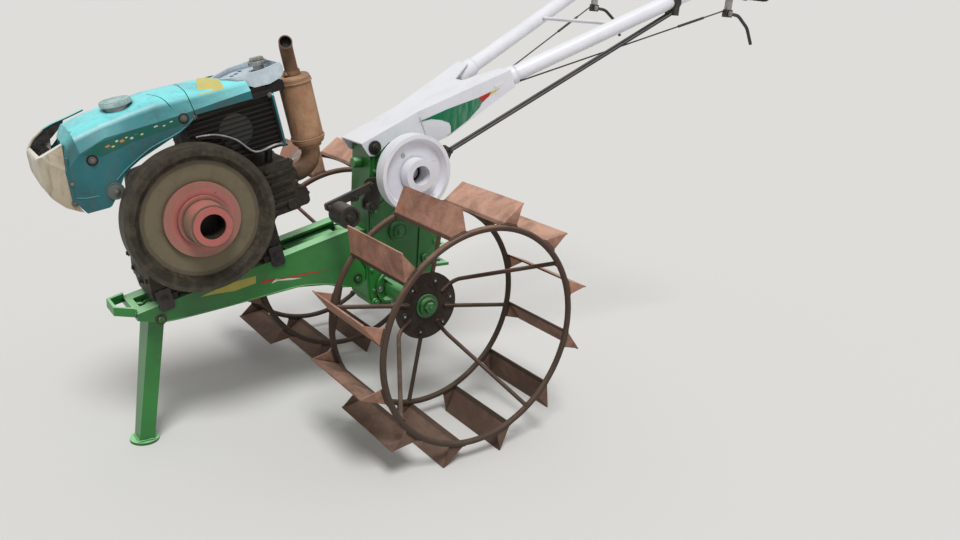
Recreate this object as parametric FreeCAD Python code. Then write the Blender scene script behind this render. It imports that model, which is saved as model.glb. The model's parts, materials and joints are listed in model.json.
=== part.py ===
import FreeCAD, Part
import math
import os

V = FreeCAD.Vector
os.makedirs("parts", exist_ok=True)

# Sizes are in millimetres. X runs forward to the nose, Y to the pulley side, Z up from the ground.
# Lengths along X are counted from the wheel axle, and the whole part is moved to mid-length at the end.
nose_x = 1008.0
tail_x = -1428.0

# Fits and gaps
running_fit = 0.05
seat_gap = 0.3
clear = 6.0

# Cage wheels
lug_count = 12
ring_r = 322.0
lug_reach = 76.6
ring_d = 18.0
ring_in_y = 268.0
ring_out_y = 560.0
lug_lean_deg = 9.3
lug_t = 4.0
spoke_d = 13.0
spoke_count = 8
spoke_start_deg = -8.0
disc_r = 108.0
disc_t = 8.0
disc_bore_r = 31.0
axle_d = 38.0
axle_flange_r = 72.0
axle_flange_t = 12.0
axle_cap_r = 29.0
tip_r = ring_r + lug_reach
axle_z = tip_r * math.cos(math.pi / lug_count)

# Gearbox and axle housings
gear_half = 61.0
gear_front_x = 98.0
gear_rear_x = -170.0
gear_low_z = 310.0
gear_high_z = 885.0
seam_x = -86.0
housing_r = 38.0
housing_flange_r = 62.0
shaft_r = 12.5

# Sloping chassis rails and front box
engine_tilt = 15.5
crank_x = 642.0
crank_z = 685.0
base_w = -213.0
rail_half = 80.0
rail_t = 6.0
flange_w = 40.0
chassis_front_x = 800.0
eye_x = 139.0
eye_z = 434.0
eye_r = 27.0
upper_pin_z = 556.0
pin_d = 16.0
window_x = 759.0
window_len = 48.0
window_half = 35.0
bumper_reach = 50.0
bumper_half = 39.0
bumper_h = 24.0
bumper_t = 8.0

# Front stand
stand_x = 740.0
stand_z = 396.0
stand_lean = 5.6
leg_depth = 42.0
leg_top_half = 41.0
leg_low_half = 26.0
leg_t = 5.0
foot_r = 40.0
foot_t = 8.0

# Engine, in its own tilted frame: u forward and w up from the crankshaft
block_half = 90.0
base_half = 74.0
base_top_w = -165.0
fly_r = 198.0
fly_in_y = 106.0
fly_out_y = 156.0
fly_rim = 27.0
drum_flange_r = 101.0
drum_r = 57.0
drum_bore_r = 34.0
drum_out_y = 230.0
drum_bore_depth = 70.0
crank_r = 22.5
hood_half = 97.0
hood_t = 4.0
crease_w = 261.0
tank_rear_u = -74.0
rear_hood_u = -235.0
cover_half = 95.0
brow_r = 15.0
brow_w = 238.0
brow_fall_deg = 16.0
face_lean_deg = 8.0
lamp_floor_w = 205.0
cap_r = 38.0
radiator_u0 = -296.0
radiator_u1 = -46.0
radiator_w0 = 103.0
radiator_w1 = 262.0
radiator_half = hood_half - hood_t - seat_gap
radiator_frame = 12.0
top_tank_h = 14.0
slat_count = 11
tray_rise = 27.0
exhaust_u = -396.0
exhaust_y = 10.0
muffler_r = 49.0
muffler_w0 = 67.0
muffler_w1 = 268.0
pipe_r = 19.0
elbow_r = 27.0
elbow_bend = 60.0
head_u0 = -300.0
head_u1 = -205.0
filter_r = 50.0

# Belt pulley and tension roller beside the gearbox
pulley_x = 21.0
pulley_z = 786.0
pulley_r = 118.0
pulley_in_y = 169.0
pulley_out_y = 210.0
pulley_hub_y = 232.0
pulley_hub_r = 49.0
pulley_bore_r = 29.5
roller_x = 250.0
roller_z = 675.0
roller_r = 33.0
roller_in_y = 155.0
roller_out_y = 225.0
spindle_r = 8.0
link_in_y = 84.0
link_t = 12.0

# Handle bracket and tubes, in the bracket's tilted plane
bracket_tilt = 26.2
bracket_x = 133.0
bracket_z = 856.0
bracket_t = 5.0
bracket_half = 66.0
bracket_wide = 148.0
bracket_long = 537.0
bracket_kink = 211.0
web_depth = 117.0
tube_d = 52.0
tube_drop = 30.5
tube_x = -320.0
tube_y = 105.0
tube_flare = 0.2457
bend_drop_x = -1048.0
bend_r = 160.0
sleeve_len = 86.0
grip_len = 130.0
grip_r = 21.0
brace_x = -755.0
brace_d = 13.0
clamp_x = -944.0
rod_d = 9.0
rod_y = 94.0
rod_gap = 18.0
rod_low_x = -160.0
rod_low_z = 832.0

# Drawbar clevis
hitch_z = 455.0
hitch_len = 70.0
hitch_pin_d = 22.0


def box(x0, x1, y0, y1, z0, z1):
    return Part.makeBox(x1 - x0, y1 - y0, z1 - z0, V(x0, y0, z0))


def cyl(start, axis, r, length):
    return Part.makeCylinder(r, length, V(*start), V(*axis))


def across(x, z, r, y0, y1):
    return Part.makeCylinder(r, y1 - y0, V(x, y0, z), V(0, 1, 0))


def joined(shapes):
    if len(shapes) == 1:
        return shapes[0]
    return shapes[0].fuse(shapes[1:]).removeSplitter()


def corner_path(points, radii, closed):
    count = len(points)
    edges = []
    last = points[0]
    first = None
    corners = range(count) if closed else range(1, count - 1)
    for i in corners:
        p = points[i]
        r = radii[i]
        if r <= 0:
            a, b = p, p
        else:
            to_a = (points[i - 1] - p).normalize()
            to_b = (points[(i + 1) % count] - p).normalize()
            half = to_a.getAngle(to_b) / 2
            a = p + to_a * (r / math.tan(half))
            b = p + to_b * (r / math.tan(half))
            mid_dir = (to_a + to_b).normalize()
            mid = p + mid_dir * (r / math.sin(half) - r)
        if first is None:
            first = a
            if closed:
                last = a
        if last.distanceToPoint(a) > 1e-6:
            edges.append(Part.makeLine(last, a))
        if r > 0:
            edges.append(Part.Arc(a, mid, b).toShape())
        last = b
    end = first if closed else points[-1]
    if last.distanceToPoint(end) > 1e-6:
        edges.append(Part.makeLine(last, end))
    return Part.Wire(edges)


def plate(points, y0, y1, radii=None):
    corners = [V(x, y0, z) for x, z in points]
    rounds = radii or [0] * len(points)
    return Part.Face(corner_path(corners, rounds, True)).extrude(V(0, y1 - y0, 0))


def flat(points, z0, z1, radii=None):
    corners = [V(x, y, z0) for x, y in points]
    rounds = radii or [0] * len(points)
    return Part.Face(corner_path(corners, rounds, True)).extrude(V(0, 0, z1 - z0))


def endwise(points, x0, x1, radii=None):
    corners = [V(x0, y, z) for y, z in points]
    rounds = radii or [0] * len(points)
    return Part.Face(corner_path(corners, rounds, True)).extrude(V(x1 - x0, 0, 0))


def table_plate(rows, y0, y1):
    return plate([(x, z) for x, z, r in rows], y0, y1, [r for x, z, r in rows])


def rod(points, d, bend=0.0):
    corners = [V(*p) for p in points]
    path = corner_path(corners, [bend] * len(points), False)
    ring = Part.Wire(Part.makeCircle(d / 2, corners[0], corners[1] - corners[0]))
    return path.makePipeShell([ring], True, False)


def tilted(shape, degrees, x, z):
    done = shape.copy()
    done.rotate(V(0, 0, 0), V(0, 1, 0), degrees)
    done.translate(V(x, 0, z))
    return done


def on_engine(shape):
    return tilted(shape, engine_tilt, crank_x, crank_z)


def on_bracket(shape):
    return tilted(shape, bracket_tilt, bracket_x, bracket_z)


def largest(shape):
    return max(shape.Solids, key=lambda solid: solid.Volume)


def mirrored(shape):
    return shape.mirror(V(0, 0, 0), V(0, 1, 0))


def both(shape):
    return [shape, mirrored(shape)]


def wheel_point(r, degrees, y):
    a = math.radians(degrees)
    return V(-r * math.cos(a), y, axle_z + r * math.sin(a))


# Cage wheel: two rings, lugs welded across them, spokes and a centre disc
def lug(tip_deg):
    root_r = ring_r + ring_d / 2 - 3
    root = wheel_point(root_r, tip_deg + lug_lean_deg, ring_in_y)
    tip = wheel_point(tip_r, tip_deg, ring_in_y)
    foot = wheel_point(root_r, tip_deg, ring_in_y)
    inward = V(0, ring_in_y, axle_z) - (root + tip) * 0.5
    along = (tip - root).normalize()
    side = (inward - along * inward.dot(along)).normalize() * lug_t
    blade = Part.Face(Part.makePolygon([root, tip, tip + side, root + side, root]))
    near = Part.Face(Part.makePolygon([root, tip, foot, root])).extrude(V(0, lug_t, 0))
    far = near.copy()
    far.translate(V(0, ring_out_y - ring_in_y - lug_t, 0))
    return [blade.extrude(V(0, ring_out_y - ring_in_y, 0)), near, far]


def cage():
    pieces = [Part.makeTorus(ring_r, ring_d / 2, V(0, y, axle_z), V(0, 1, 0))
              for y in (ring_in_y, ring_out_y)]
    step = 360.0 / lug_count
    for i in range(lug_count):
        pieces += lug(step / 2 + i * step)
    for i in range(spoke_count):
        deg = spoke_start_deg + i * 360.0 / spoke_count
        inner = wheel_point(disc_r * 0.6, deg, ring_in_y)
        knee = wheel_point(disc_r + spoke_d, deg, ring_in_y)
        if i % 2 == 0:
            pieces.append(rod([inner, wheel_point(ring_r, deg, ring_in_y)], spoke_d))
        else:
            pieces.append(rod([inner, knee, wheel_point(ring_r, deg, ring_out_y)], spoke_d, 4 * spoke_d))
    pieces.append(across(0, axle_z, disc_r, ring_in_y - disc_t, ring_in_y))
    bore = across(0, axle_z, disc_bore_r, ring_in_y - 5 * disc_t, ring_in_y + 5 * disc_t)
    return joined(pieces).cut(bore)


# Axle: shaft, flange behind the disc, round cap through it with a hex nut
def axle():
    flange_y = ring_in_y - disc_t - axle_flange_t
    shaft = across(0, axle_z, axle_d / 2, 2 * gear_half, flange_y + 2)
    flange = across(0, axle_z, axle_flange_r, flange_y, flange_y + axle_flange_t)
    cap = across(0, axle_z, axle_cap_r, flange_y + axle_flange_t - 2, ring_in_y + 14)
    nut_r = axle_cap_r * 0.6
    corners = [(nut_r * math.cos(math.radians(a)), axle_z + nut_r * math.sin(math.radians(a)))
               for a in range(0, 360, 60)]
    nut = plate(corners, ring_in_y + 12, ring_in_y + 28)
    return joined([shaft, flange, cap, nut])


# Gearbox case with its seam rib, shaft bosses and front ears
GEAR_SIDE = [
    # x, z, corner radius
    (-70, gear_low_z, 30), (55, gear_low_z, 30), (gear_front_x - 12, gear_low_z + 40, 25),
    (gear_front_x, gear_low_z + 150, 40), (gear_front_x, gear_high_z - 42, 12), (-20, gear_high_z, 20),
    (-120, gear_high_z - 25, 30), (gear_rear_x, gear_high_z - 95, 40), (gear_rear_x, gear_low_z + 130, 40),
    (gear_rear_x + 35, gear_low_z + 35, 30),
]
GEAR_BOSSES = [
    # x, z, radius, how far it stands out
    (-10, 572, 33, 10), (-10, 572, 20, 15), (-123, 466, 17, 10), (-128, 690, 24, 8), (40, 470, 20, 7),
    (-60, 330, 14, 9), (62, 340, 12, 9), (80, 640, 12, 9), (-20, 680, 26, 6),
]


def gearbox():
    case = table_plate(GEAR_SIDE, -gear_half + 4, gear_half - 4)
    pieces = [case]
    cover = [(seam_x, gear_low_z + 18, 0), (48, gear_low_z + 10, 24), (gear_front_x - 20, gear_low_z + 45, 20),
             (gear_front_x - 6, gear_low_z + 155, 30), (gear_front_x - 6, gear_high_z - 52, 10),
             (-20, gear_high_z - 14, 10), (seam_x, gear_high_z - 28, 0)]
    rear = [(seam_x - 8, gear_low_z + 30, 0), (seam_x - 8, gear_high_z - 36, 0),
            (-124, gear_high_z - 34, 20), (gear_rear_x + 6, gear_high_z - 100, 30),
            (gear_rear_x + 6, gear_low_z + 136, 30), (gear_rear_x + 36, gear_low_z + 48, 20)]
    for rows in (cover, rear):
        pieces += both(table_plate(rows, gear_half - 5, gear_half))
    for x, z, r, out in GEAR_BOSSES:
        pieces += both(across(x, z, r, gear_half - 5, gear_half + out))
    pieces.append(across(pulley_x, pulley_z, 60, gear_half - 5, gear_half + 14))
    pieces.append(across(pulley_x, pulley_z, 44, gear_half, pulley_in_y - clear))
    pieces.append(cyl((gear_front_x - 20, 0, 786), (1, 0, 0), 16, 50))
    for z in (eye_z, upper_pin_z):
        ear = [(gear_front_x - 20, z - 24, 0), (eye_x + 24, z - 24, 23), (eye_x + 24, z + 24, 23),
               (gear_front_x - 20, z + 24, 0)]
        pieces.append(table_plate(ear, -42, 42))
    body = joined(pieces)
    bore = across(pulley_x, pulley_z, shaft_r + running_fit, gear_half + 20, pulley_in_y)
    return body.cut([bore] + [across(eye_x, z, pin_d / 2, -50, 50) for z in (eye_z, upper_pin_z)])


# Axle housing: tube with a bolting flange, ribs and an end collar
def axle_housing():
    end_y = ring_in_y - disc_t - axle_flange_t - clear - 8
    tube = across(0, axle_z, housing_r, gear_half, end_y)
    foot = across(0, axle_z, housing_flange_r, gear_half, gear_half + 12)
    collar = across(0, axle_z, housing_r + 10, end_y - 24, end_y)
    rib = box(-4, 4, gear_half + 10, gear_half + 60, axle_z, axle_z + housing_flange_r - 8)
    ribs = []
    for a in (45, 135, 225, 315):
        turned = rib.copy()
        turned.rotate(V(0, 0, axle_z), V(0, 1, 0), a)
        slope = Part.makeCone(housing_flange_r, housing_r, 50, V(0, gear_half + 10, axle_z), V(0, 1, 0))
        ribs.append(turned.common(slope))
    bore = across(0, axle_z, axle_d / 2 + running_fit, gear_half + 50, end_y + 1)
    return joined([tube, foot, collar] + ribs).cut(bore)


# Chassis: two sloping side rails with top flanges, front box with a deck window, cross pins
def rail_top(x):
    a = math.radians(engine_tilt)
    start_x = crank_x + base_w * math.sin(a)
    start_z = crank_z + base_w * math.cos(a)
    return start_z - (x - start_x) * math.tan(a)


def strip(x0, x1, y0, y1, t, drop=0.0):
    points = [(x0, rail_top(x0) - drop), (x1, rail_top(x1) - drop),
              (x1, rail_top(x1) - drop - t), (x0, rail_top(x0) - drop - t)]
    return plate(points, y0, y1)


def chassis():
    rear_x = eye_x - eye_r + 2
    front_low = rail_top(chassis_front_x) - 20
    side = [(chassis_front_x, rail_top(chassis_front_x), 0), (chassis_front_x, front_low, 8),
            (735, 386, 20), (690, 388, 30), (478, 414, 60), (338, 433, 120), (245, 427, 80), (178, 410, 50),
            (eye_x, eye_z - eye_r, 20), (rear_x, eye_z - eye_r + 6, 22),
            (rear_x, eye_z + eye_r, 10), (rear_x + 22, eye_z + 60, 30), (rear_x + 38, rail_top(rear_x + 38), 0)]
    web = table_plate(side, rail_half - rail_t, rail_half)
    lip = strip(rear_x + 38, chassis_front_x, rail_half - flange_w, rail_half, rail_t)
    pieces = both(web) + both(lip)
    pieces.append(box(chassis_front_x - rail_t, chassis_front_x, -rail_half, rail_half, front_low,
                      rail_top(chassis_front_x)))
    pieces.append(strip(700, chassis_front_x, -rail_half, rail_half, rail_t))
    pieces.append(strip(rear_x + 60, 330, -rail_half + 1, rail_half - 1, 4, 30))
    pieces.append(box(540, 590, -rail_half + 1, rail_half - 1, 424, 430))
    half = window_len / 2
    body = joined(pieces)
    body = body.cut(box(window_x - half, window_x + half, -window_half, window_half, 405, 500))
    bar_z = rail_top(window_x + half) - 14
    stub = [box(window_x + 8, window_x + half, -rail_half + 1, rail_half - 1, bar_z - 6, bar_z),
            cyl((window_x + 14, 0, bar_z - 1), (0, 0, 1), 8, 12)]
    pins = [across(stand_x, stand_z, pin_d / 2, -rail_half - 8, rail_half + 8)]
    for z in (eye_z, upper_pin_z):
        pins.append(across(eye_x, z, pin_d / 2, -rail_half - 8, rail_half + 8))
    spacers = []
    for z in (eye_z, upper_pin_z):
        spacers += both(across(eye_x, z, pin_d / 2 + 5, 42, rail_half - rail_t + 1))
    return joined([body] + stub + pins + spacers)


# Front bumper: flat bar bent into a blunt nose
def bumper():
    top = rail_top(chassis_front_x) + bumper_h / 2 + 1
    x0, x1 = chassis_front_x, chassis_front_x + bumper_reach
    t = bumper_t
    wide = rail_half - 6
    outer = [(x0, -wide), (x1, -bumper_half), (x1, bumper_half), (x0, wide)]
    inner = [(x0, -wide + 1.6 * t), (x1 - t, -bumper_half + 0.7 * t), (x1 - t, bumper_half - 0.7 * t),
             (x0, wide - 1.6 * t)]
    body = flat(outer, top - bumper_h, top)
    return body.cut(flat(inner, top - bumper_h - 1, top + 1))


# Front stand: tapered channel leg, pivot sleeve and round foot
def stand():
    length = stand_z - foot_t / 2
    head = leg_depth / 2 - 2
    d = leg_depth / 2
    def face(depth0, depth1, half_low, half_top, low, top):
        corners = [V(depth0, -half_low, low), V(depth0, half_low, low),
                   V(depth0, half_top, top), V(depth0, -half_top, top)]
        return Part.Face(Part.makePolygon(corners + corners[:1])).extrude(V(depth1 - depth0, 0, 0))
    outer = face(-d, d, leg_low_half, leg_top_half, -length, 0)
    inner = face(-d - 1, d - leg_t, leg_low_half - leg_t, leg_top_half - leg_t, -length - 1, 1)
    cheeks = []
    for s in (-1, 1):
        y0 = s * leg_top_half
        cheeks.append(across(0, 0, head, min(y0, y0 - s * leg_t), max(y0, y0 - s * leg_t)))
    sleeve = across(0, 0, pin_d / 2 + 6, -leg_top_half + 1, leg_top_half - 1)
    web = box(d - leg_t - 1, d, -leg_low_half, leg_low_half, -60, -4)
    leg = joined([outer.cut(inner), web, sleeve] + cheeks)
    leg = tilted(leg, -stand_lean, stand_x, stand_z)
    foot_x = stand_x + stand_z * math.tan(math.radians(stand_lean))
    foot = cyl((foot_x, 0, 0), (0, 0, 1), foot_r, foot_t)
    below = box(foot_x - 200, foot_x + 200, -200, 200, -100, foot_t / 2)
    bore = across(stand_x, stand_z, pin_d / 2 + running_fit, -leg_top_half - 5, leg_top_half + 5)
    return joined([leg.cut(below), foot]).cut(bore)


# Engine block with side cover, ribs, sight glass boss and feet on the rails
BLOCK_SIDE = [
    # u, w, corner radius
    (head_u1, base_top_w, 0), (171, base_top_w, 0), (171, -145, 12), (152, -60, 30), (146, 0, 20),
    (118, 60, 20), (105, 120, 15), (radiator_u1 + 1, 132, 8), (radiator_u1 + 1, 100, 0), (head_u1, 70, 15),
]
COVER_SIDE = [(-150, -162, 20), (120, -162, 30), (125, -40, 40), (80, 90, 40), (-90, 80, 40), (-170, 20, 40)]


def engine_block():
    pieces = [table_plate(BLOCK_SIDE, -block_half, block_half)]
    pieces.append(table_plate(COVER_SIDE, -block_half - 18, -block_half))
    pieces.append(across(0, 0, 62, -block_half - 34, -block_half))
    pieces.append(across(0, 0, 40, block_half - 2, block_half + 8))
    pieces.append(box(head_u1, 171, -base_half, base_half, base_w + 13, base_top_w + 1))
    for u in (-170, -60, 60, 130):
        for y in (-60, 60):
            pieces.append(box(u - 22, u + 22, y - 18, y + 18, base_w, base_w + 20))
    for u in (-150, -110, -70):
        pieces.append(box(u - 3, u + 3, block_half - 2, block_half + 6, base_top_w, 40))
    body = joined(pieces)
    return on_engine(body.cut(across(0, 0, crank_r + running_fit, block_half - 50, block_half + 9)))


# Cylinder head with rocker cover, injector and fuel pipes on the near side
def cylinder_head():
    body = plate([(head_u0, -90), (head_u1, -90), (head_u1, 62), (head_u0, 62)], -78, 78, [10, 0, 0, 10])
    pieces = [body]
    pieces.append(plate([(head_u0 - 36, -92), (head_u0, -92), (head_u0, -36), (head_u0 - 36, -36)],
                        -62, 62, [14, 0, 0, 14]))
    for w in (-60, -30, 0, 30):
        pieces.append(box(head_u0 + 10, head_u1 - 6, 77, 84, w - 4, w + 4))
    pieces.append(cyl((head_u0 + 50, 40, 60), (-0.3, 0, 1), 11, 34))
    pieces.append(cyl((head_u0 + 30, 77, -68), (0, 1, 0), 13, 14))
    return on_engine(joined(pieces))


# Engine clamps that hold the feet to the rails
def engine_clamps():
    pieces = []
    out = rail_half + 7
    for u in (-186, 145):
        low, high = base_w - 20, base_top_w - 5
        side = plate([(u - 20, low), (u + 20, low), (u + 20, high), (u - 20, high)],
                     rail_half + seat_gap, out, [10, 10, 6, 6])
        hook = box(u - 15, u + 15, base_half + seat_gap, out, base_w + 21, high)
        stud = across(u, base_w + 14, 9, rail_half + 2, out + 5)
        pieces += both(on_engine(joined([side, hook, stud])))
    return Part.makeCompound(pieces)


# Fuel tank and rear hood: crowned shells cut to their side outlines
FRONT_EDGE = [
    # u, w of the tank's front edge, upwards
    (249, 95), (270, 136), (262, 206), (243, 275),
]
TANK_SIDE = [
    # u, w, corner radius
    (tank_rear_u, 400, 0), (tank_rear_u, radiator_w1 + seat_gap, 0), (-70, 246, 0), (-24, 221, 0), (88, 186, 30),
    (134, 164, 15), (166, 120, 15), (192, 92, 15),
] + [(u, w, 0) for u, w in FRONT_EDGE] + [(235, 400, 0)]
STATIONS = [
    # u, w of the side crease, w of the crown
    (280, 194, 250), (218, 241, 301), (152, 261, 314), (80, 262, 322), (9, 263, 328), (-70, 266, 326),
    (-147, 271, 323), (-250, 276, 318),
]
POCKET = [
    # u, y
    (285, -86), (203, -86), (205, -70), (231, -12), (246, 18), (243, 48), (263, 58), (285, 58),
]
TRAY_PLAN = [
    # u, y, corner radius
    (-162, -13, 12), (-184, 48, 15), (-214, 70, 15), (-290, 80, 20), (-350, 78, 14), (-350, -80, 14),
    (-300, -86, 20), (-246, -80, 15),
]


def crown_body(low_w, inset=0.0):
    half = hood_half - inset
    rings = []
    for u, crease, crown in STATIONS:
        edge, top = crease - inset, crown - inset
        outline = [(half, low_w), (half, edge), (0.77 * half, top - 14), (0, top), (-0.77 * half, top - 14),
                   (-half, edge), (-half, low_w)]
        corners = [V(u, y, w) for y, w in outline]
        rings.append(corner_path(corners, [0, 0, 45, 180, 45, 0, 0], True))
    return Part.makeLoft(rings, True, True)


def fuel_tank():
    body = crown_body(60).common(table_plate(TANK_SIDE, -hood_half - 1, hood_half + 1))
    inside = table_plate([(tank_rear_u - 1, 61, 0), (244, 61, 0), (244, 140, 20), (196, 180, 20),
                          (196, 400, 0), (tank_rear_u - 1, 400, 0)], -hood_half, hood_half)
    hollow = crown_body(50, hood_t).common(inside)
    slot = flat([(12, 24), (8, 27), (-26, 88), (-22, 85)], 285, 340)
    return on_engine(body.cut([hollow, flat(POCKET, lamp_floor_w, 400), slot]))


def rear_hood():
    low = radiator_w1 - 8
    side = plate([(rear_hood_u, low), (rear_hood_u, 400), (tank_rear_u - 2, 400), (tank_rear_u - 2, low)],
                 -hood_half - 1, hood_half + 1)
    grown = [(-157, -13, 12), (-180, 50, 15), (-212, 72.5, 15), (-292, 83, 0), (-292, -89, 0), (-245, -83, 15)]
    notch = flat([(u, y) for u, y, r in grown], 280, 400, [r for u, y, r in grown])
    return on_engine(crown_body(60).common(side).cut([crown_body(50, hood_t), notch]))


def fuel_cap():
    cap = joined([cyl((90, 34, 320), (0, 0, 1), cap_r, 11), cyl((90, 34, 290), (0, 0, 1), cap_r - 8, 31)])
    return largest(on_engine(cap).cut(fuel_tank()))


# Lamp cover with an open recess and the finned lamp set in it
def cover_outline():
    a = math.radians(engine_tilt)
    w = brow_w
    u = (nose_x - brow_r - crank_x - w * math.sin(a)) / math.cos(a)
    top_turn = math.radians(90 - brow_fall_deg)
    face_turn = math.radians(face_lean_deg)
    top_n = (math.cos(top_turn), math.sin(top_turn))
    face_n = (math.cos(face_turn), math.sin(face_turn))
    share = brow_r / (1 + top_n[0] * face_n[0] + top_n[1] * face_n[1])
    corner = (u + share * (top_n[0] + face_n[0]), w + share * (top_n[1] + face_n[1]), brow_r)
    back_u = FRONT_EDGE[3][0] + 2.4
    back_w = w + (brow_r - top_n[0] * (back_u - u)) / top_n[1]
    knee_w = 201
    knee_u = u + (brow_r - face_n[1] * (knee_w - w)) / face_n[0]
    edge = [(eu + 1.5 * seat_gap, ew, 0) for eu, ew in reversed(FRONT_EDGE[1:3])]
    return [(back_u, back_w, 0), corner, (knee_u, knee_w, 60), (309, 148, 30), (288, 121, 20), (262, 104, 8),
            (254, 99, 0)] + edge[::-1]


def lamp_cover():
    half = cover_half
    body = table_plate(cover_outline(), -half, half)
    plan = flat([(230, -half), (264, -half), (292, -half + 9), (322, -50), (322, 50), (292, half - 9),
                 (264, half), (230, half)], 60, 300, [0, 0, 30, 30, 30, 30, 0, 0])
    section = endwise([(-half, 60), (half, 60), (half, 215), (half - 18, 264), (half - 18, 300),
                       (18 - half, 300), (18 - half, 264), (-half, 215)], 230, 330)
    recess = plate([(220, 330), (220, lamp_floor_w), (290, lamp_floor_w), (300, 240), (300, 330)], -74, 58)
    return on_engine(body.common(plan).common(section).cut(recess))


def lamp():
    pieces = [box(258, 287, -66, 48, lamp_floor_w + seat_gap, 232)]
    for y in (-62, -38, -14, 10, 34):
        fin = plate([(260, 228), (287, 228), (294, 243), (281, 253), (264, 247)], y, y + 5)
        pieces.append(fin)
    pieces.append(box(272, 278, -66, 48, 228, 243))
    return on_engine(joined(pieces))


# Radiator: slatted core, frames, bent shroud rim, top tank, filling tray and cap
top_tank_w = radiator_w1 + top_tank_h
bowl_w = top_tank_w + tray_rise
RIM = [
    # u, w of the shroud's bent lower rim
    (-60, 198), (-82, 196), (-118, 187), (-162, 160), (-203, 116), (-262, 118), (-296, 113),
]


def radiator():
    f = radiator_frame
    pieces = [box(radiator_u0, radiator_u1, -radiator_half + 9, radiator_half - 9, radiator_w0, radiator_w1)]
    upper = [(radiator_u0, radiator_w1), (radiator_u1, radiator_w1), (radiator_u1, radiator_w1 - 2 * f),
             (radiator_u0 + f, radiator_w1 - f), (radiator_u0 + f, radiator_w0), (radiator_u0, radiator_w0)]
    pieces += both(plate(upper, radiator_half - 10, radiator_half))
    rim = RIM + [(u - 3, w - 10) for u, w in reversed(RIM)]
    pieces += both(plate(rim, radiator_half - 10, radiator_half + 3))
    count = slat_count
    pitch = (radiator_w1 - radiator_w0 - f) / count
    for i in range(count):
        w = radiator_w0 + (i + 0.5) * pitch
        slat = box(radiator_u0 + 2, radiator_u1, radiator_half - 10, radiator_half - 4, w - 2, w + 2)
        pieces += both(slat)
    pieces.append(box(-338, rear_hood_u - 4, -76, 76, radiator_w1 - 12, top_tank_w - seat_gap))
    return on_engine(joined(pieces))


def radiator_tray():
    side = [(-150, bowl_w + 9, 0), (-290, bowl_w + 14, 60), (-342, bowl_w + 21, 6), (-352, bowl_w - 1, 20),
            (-332, top_tank_w + 8, 14), (-300, top_tank_w, 14), (-256, top_tank_w, 10),
            (-225, top_tank_w + 16, 0), (-150, bowl_w - 3, 0)]
    body = table_plate(side, -hood_half, hood_half)
    plan = flat([(u, y) for u, y, r in TRAY_PLAN], 200, 400, [r for u, y, r in TRAY_PLAN])
    bowl = flat([(-172, -10), (-192, 43), (-218, 62), (-290, 72), (-338, 70), (-338, -72), (-298, -78),
                 (-248, -72)], bowl_w, 400, [8] * 8)
    return on_engine(body.common(plan).cut(bowl))


def radiator_cap():
    cap_w = bowl_w + 17
    neck = cyl((-306, 4, bowl_w), (0, 0, 1), 15, 20)
    cap = cyl((-306, 4, cap_w), (0, 0, 1), 25, 10)
    knob = plate([(-324, cap_w + 9), (-288, cap_w + 9), (-288, cap_w + 20), (-324, cap_w + 20)],
                 -4, 12, [0, 0, 4, 4])
    return on_engine(joined([neck, cap, knob]))


def stay_rod():
    y = radiator_half + 7
    run = [(-290, radiator_half - 4, 250), (-290, y, 250), (-290, y, 108), (-290, radiator_half - 4, 108)]
    return largest(on_engine(rod(run, 7, 5)).cut(radiator()))


# Exhaust: elbow with flange, muffler with end rims, tail pipe
def muffler():
    height = muffler_w1 - muffler_w0
    body = cyl((exhaust_u, exhaust_y, muffler_w0), (0, 0, 1), muffler_r - 2, height)
    ends = [e for e in body.Edges if e.Closed and len(e.Vertexes) == 1 and e.Length > 2 * muffler_r]
    body = body.makeFillet(9, ends)
    rims = [cyl((exhaust_u, exhaust_y, w), (0, 0, 1), muffler_r, 7) for w in (muffler_w0 + 12, muffler_w1 - 19)]
    return on_engine(joined([body] + rims))


def tail_pipe():
    low = (exhaust_u, exhaust_y, muffler_w1)
    bend = (exhaust_u, exhaust_y, 348)
    run = [low, bend, (exhaust_u + 12, exhaust_y + 36, 366)]
    bore = [low, bend, (exhaust_u + 13, exhaust_y + 39, 367.5)]
    return on_engine(rod(run, 2 * pipe_r, 24).cut(rod(bore, 2 * pipe_r - 6, 24)))


def elbow():
    pipe = rod([(head_u0, exhaust_y, -6), (exhaust_u, exhaust_y, -6), (exhaust_u, exhaust_y, muffler_w0)],
               2 * elbow_r, elbow_bend)
    flange = plate([(head_u0 - 9, -36), (head_u0, -36), (head_u0, 24), (head_u0 - 9, 24)],
                   exhaust_y - 36, exhaust_y + 36)
    ring = cyl((exhaust_u, exhaust_y, muffler_w0 - 10), (0, 0, 1), elbow_r + 8, 10)
    return on_engine(joined([pipe, flange, ring]))


# Air cleaner on the far side of the head
def air_cleaner():
    y = -78 - filter_r - 24
    u = head_u0 + 40
    body = cyl((u, y, -40), (0, 0, 1), filter_r, 120)
    band = cyl((u, y, -2), (0, 0, 1), filter_r + 3, 12)
    cap = cyl((u, y, 80), (0, 0, 1), filter_r * 0.5, 14)
    hat = cyl((u, y, 94), (0, 0, 1), filter_r * 0.9, 22)
    neck = cyl((u, -78, -24), (0, -1, 0), 18, filter_r)
    return on_engine(joined([body, band, cap, hat, neck]))


# Flywheel and the belt drum bolted on it
def flywheel():
    rim = across(0, 0, fly_r, fly_in_y, fly_out_y)
    dish = Part.makeCone(fly_r - fly_rim, fly_r - fly_rim - 12, 14, V(0, fly_out_y, 0), V(0, -1, 0))
    back = across(0, 0, fly_r - fly_rim, fly_in_y - 1, fly_in_y + 12)
    hub = across(0, 0, 60, fly_in_y, fly_out_y - 16)
    shaft = across(0, 0, crank_r, block_half - 40, fly_out_y - 14)
    return on_engine(joined([rim.cut([dish, back]), hub, shaft]))


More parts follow.
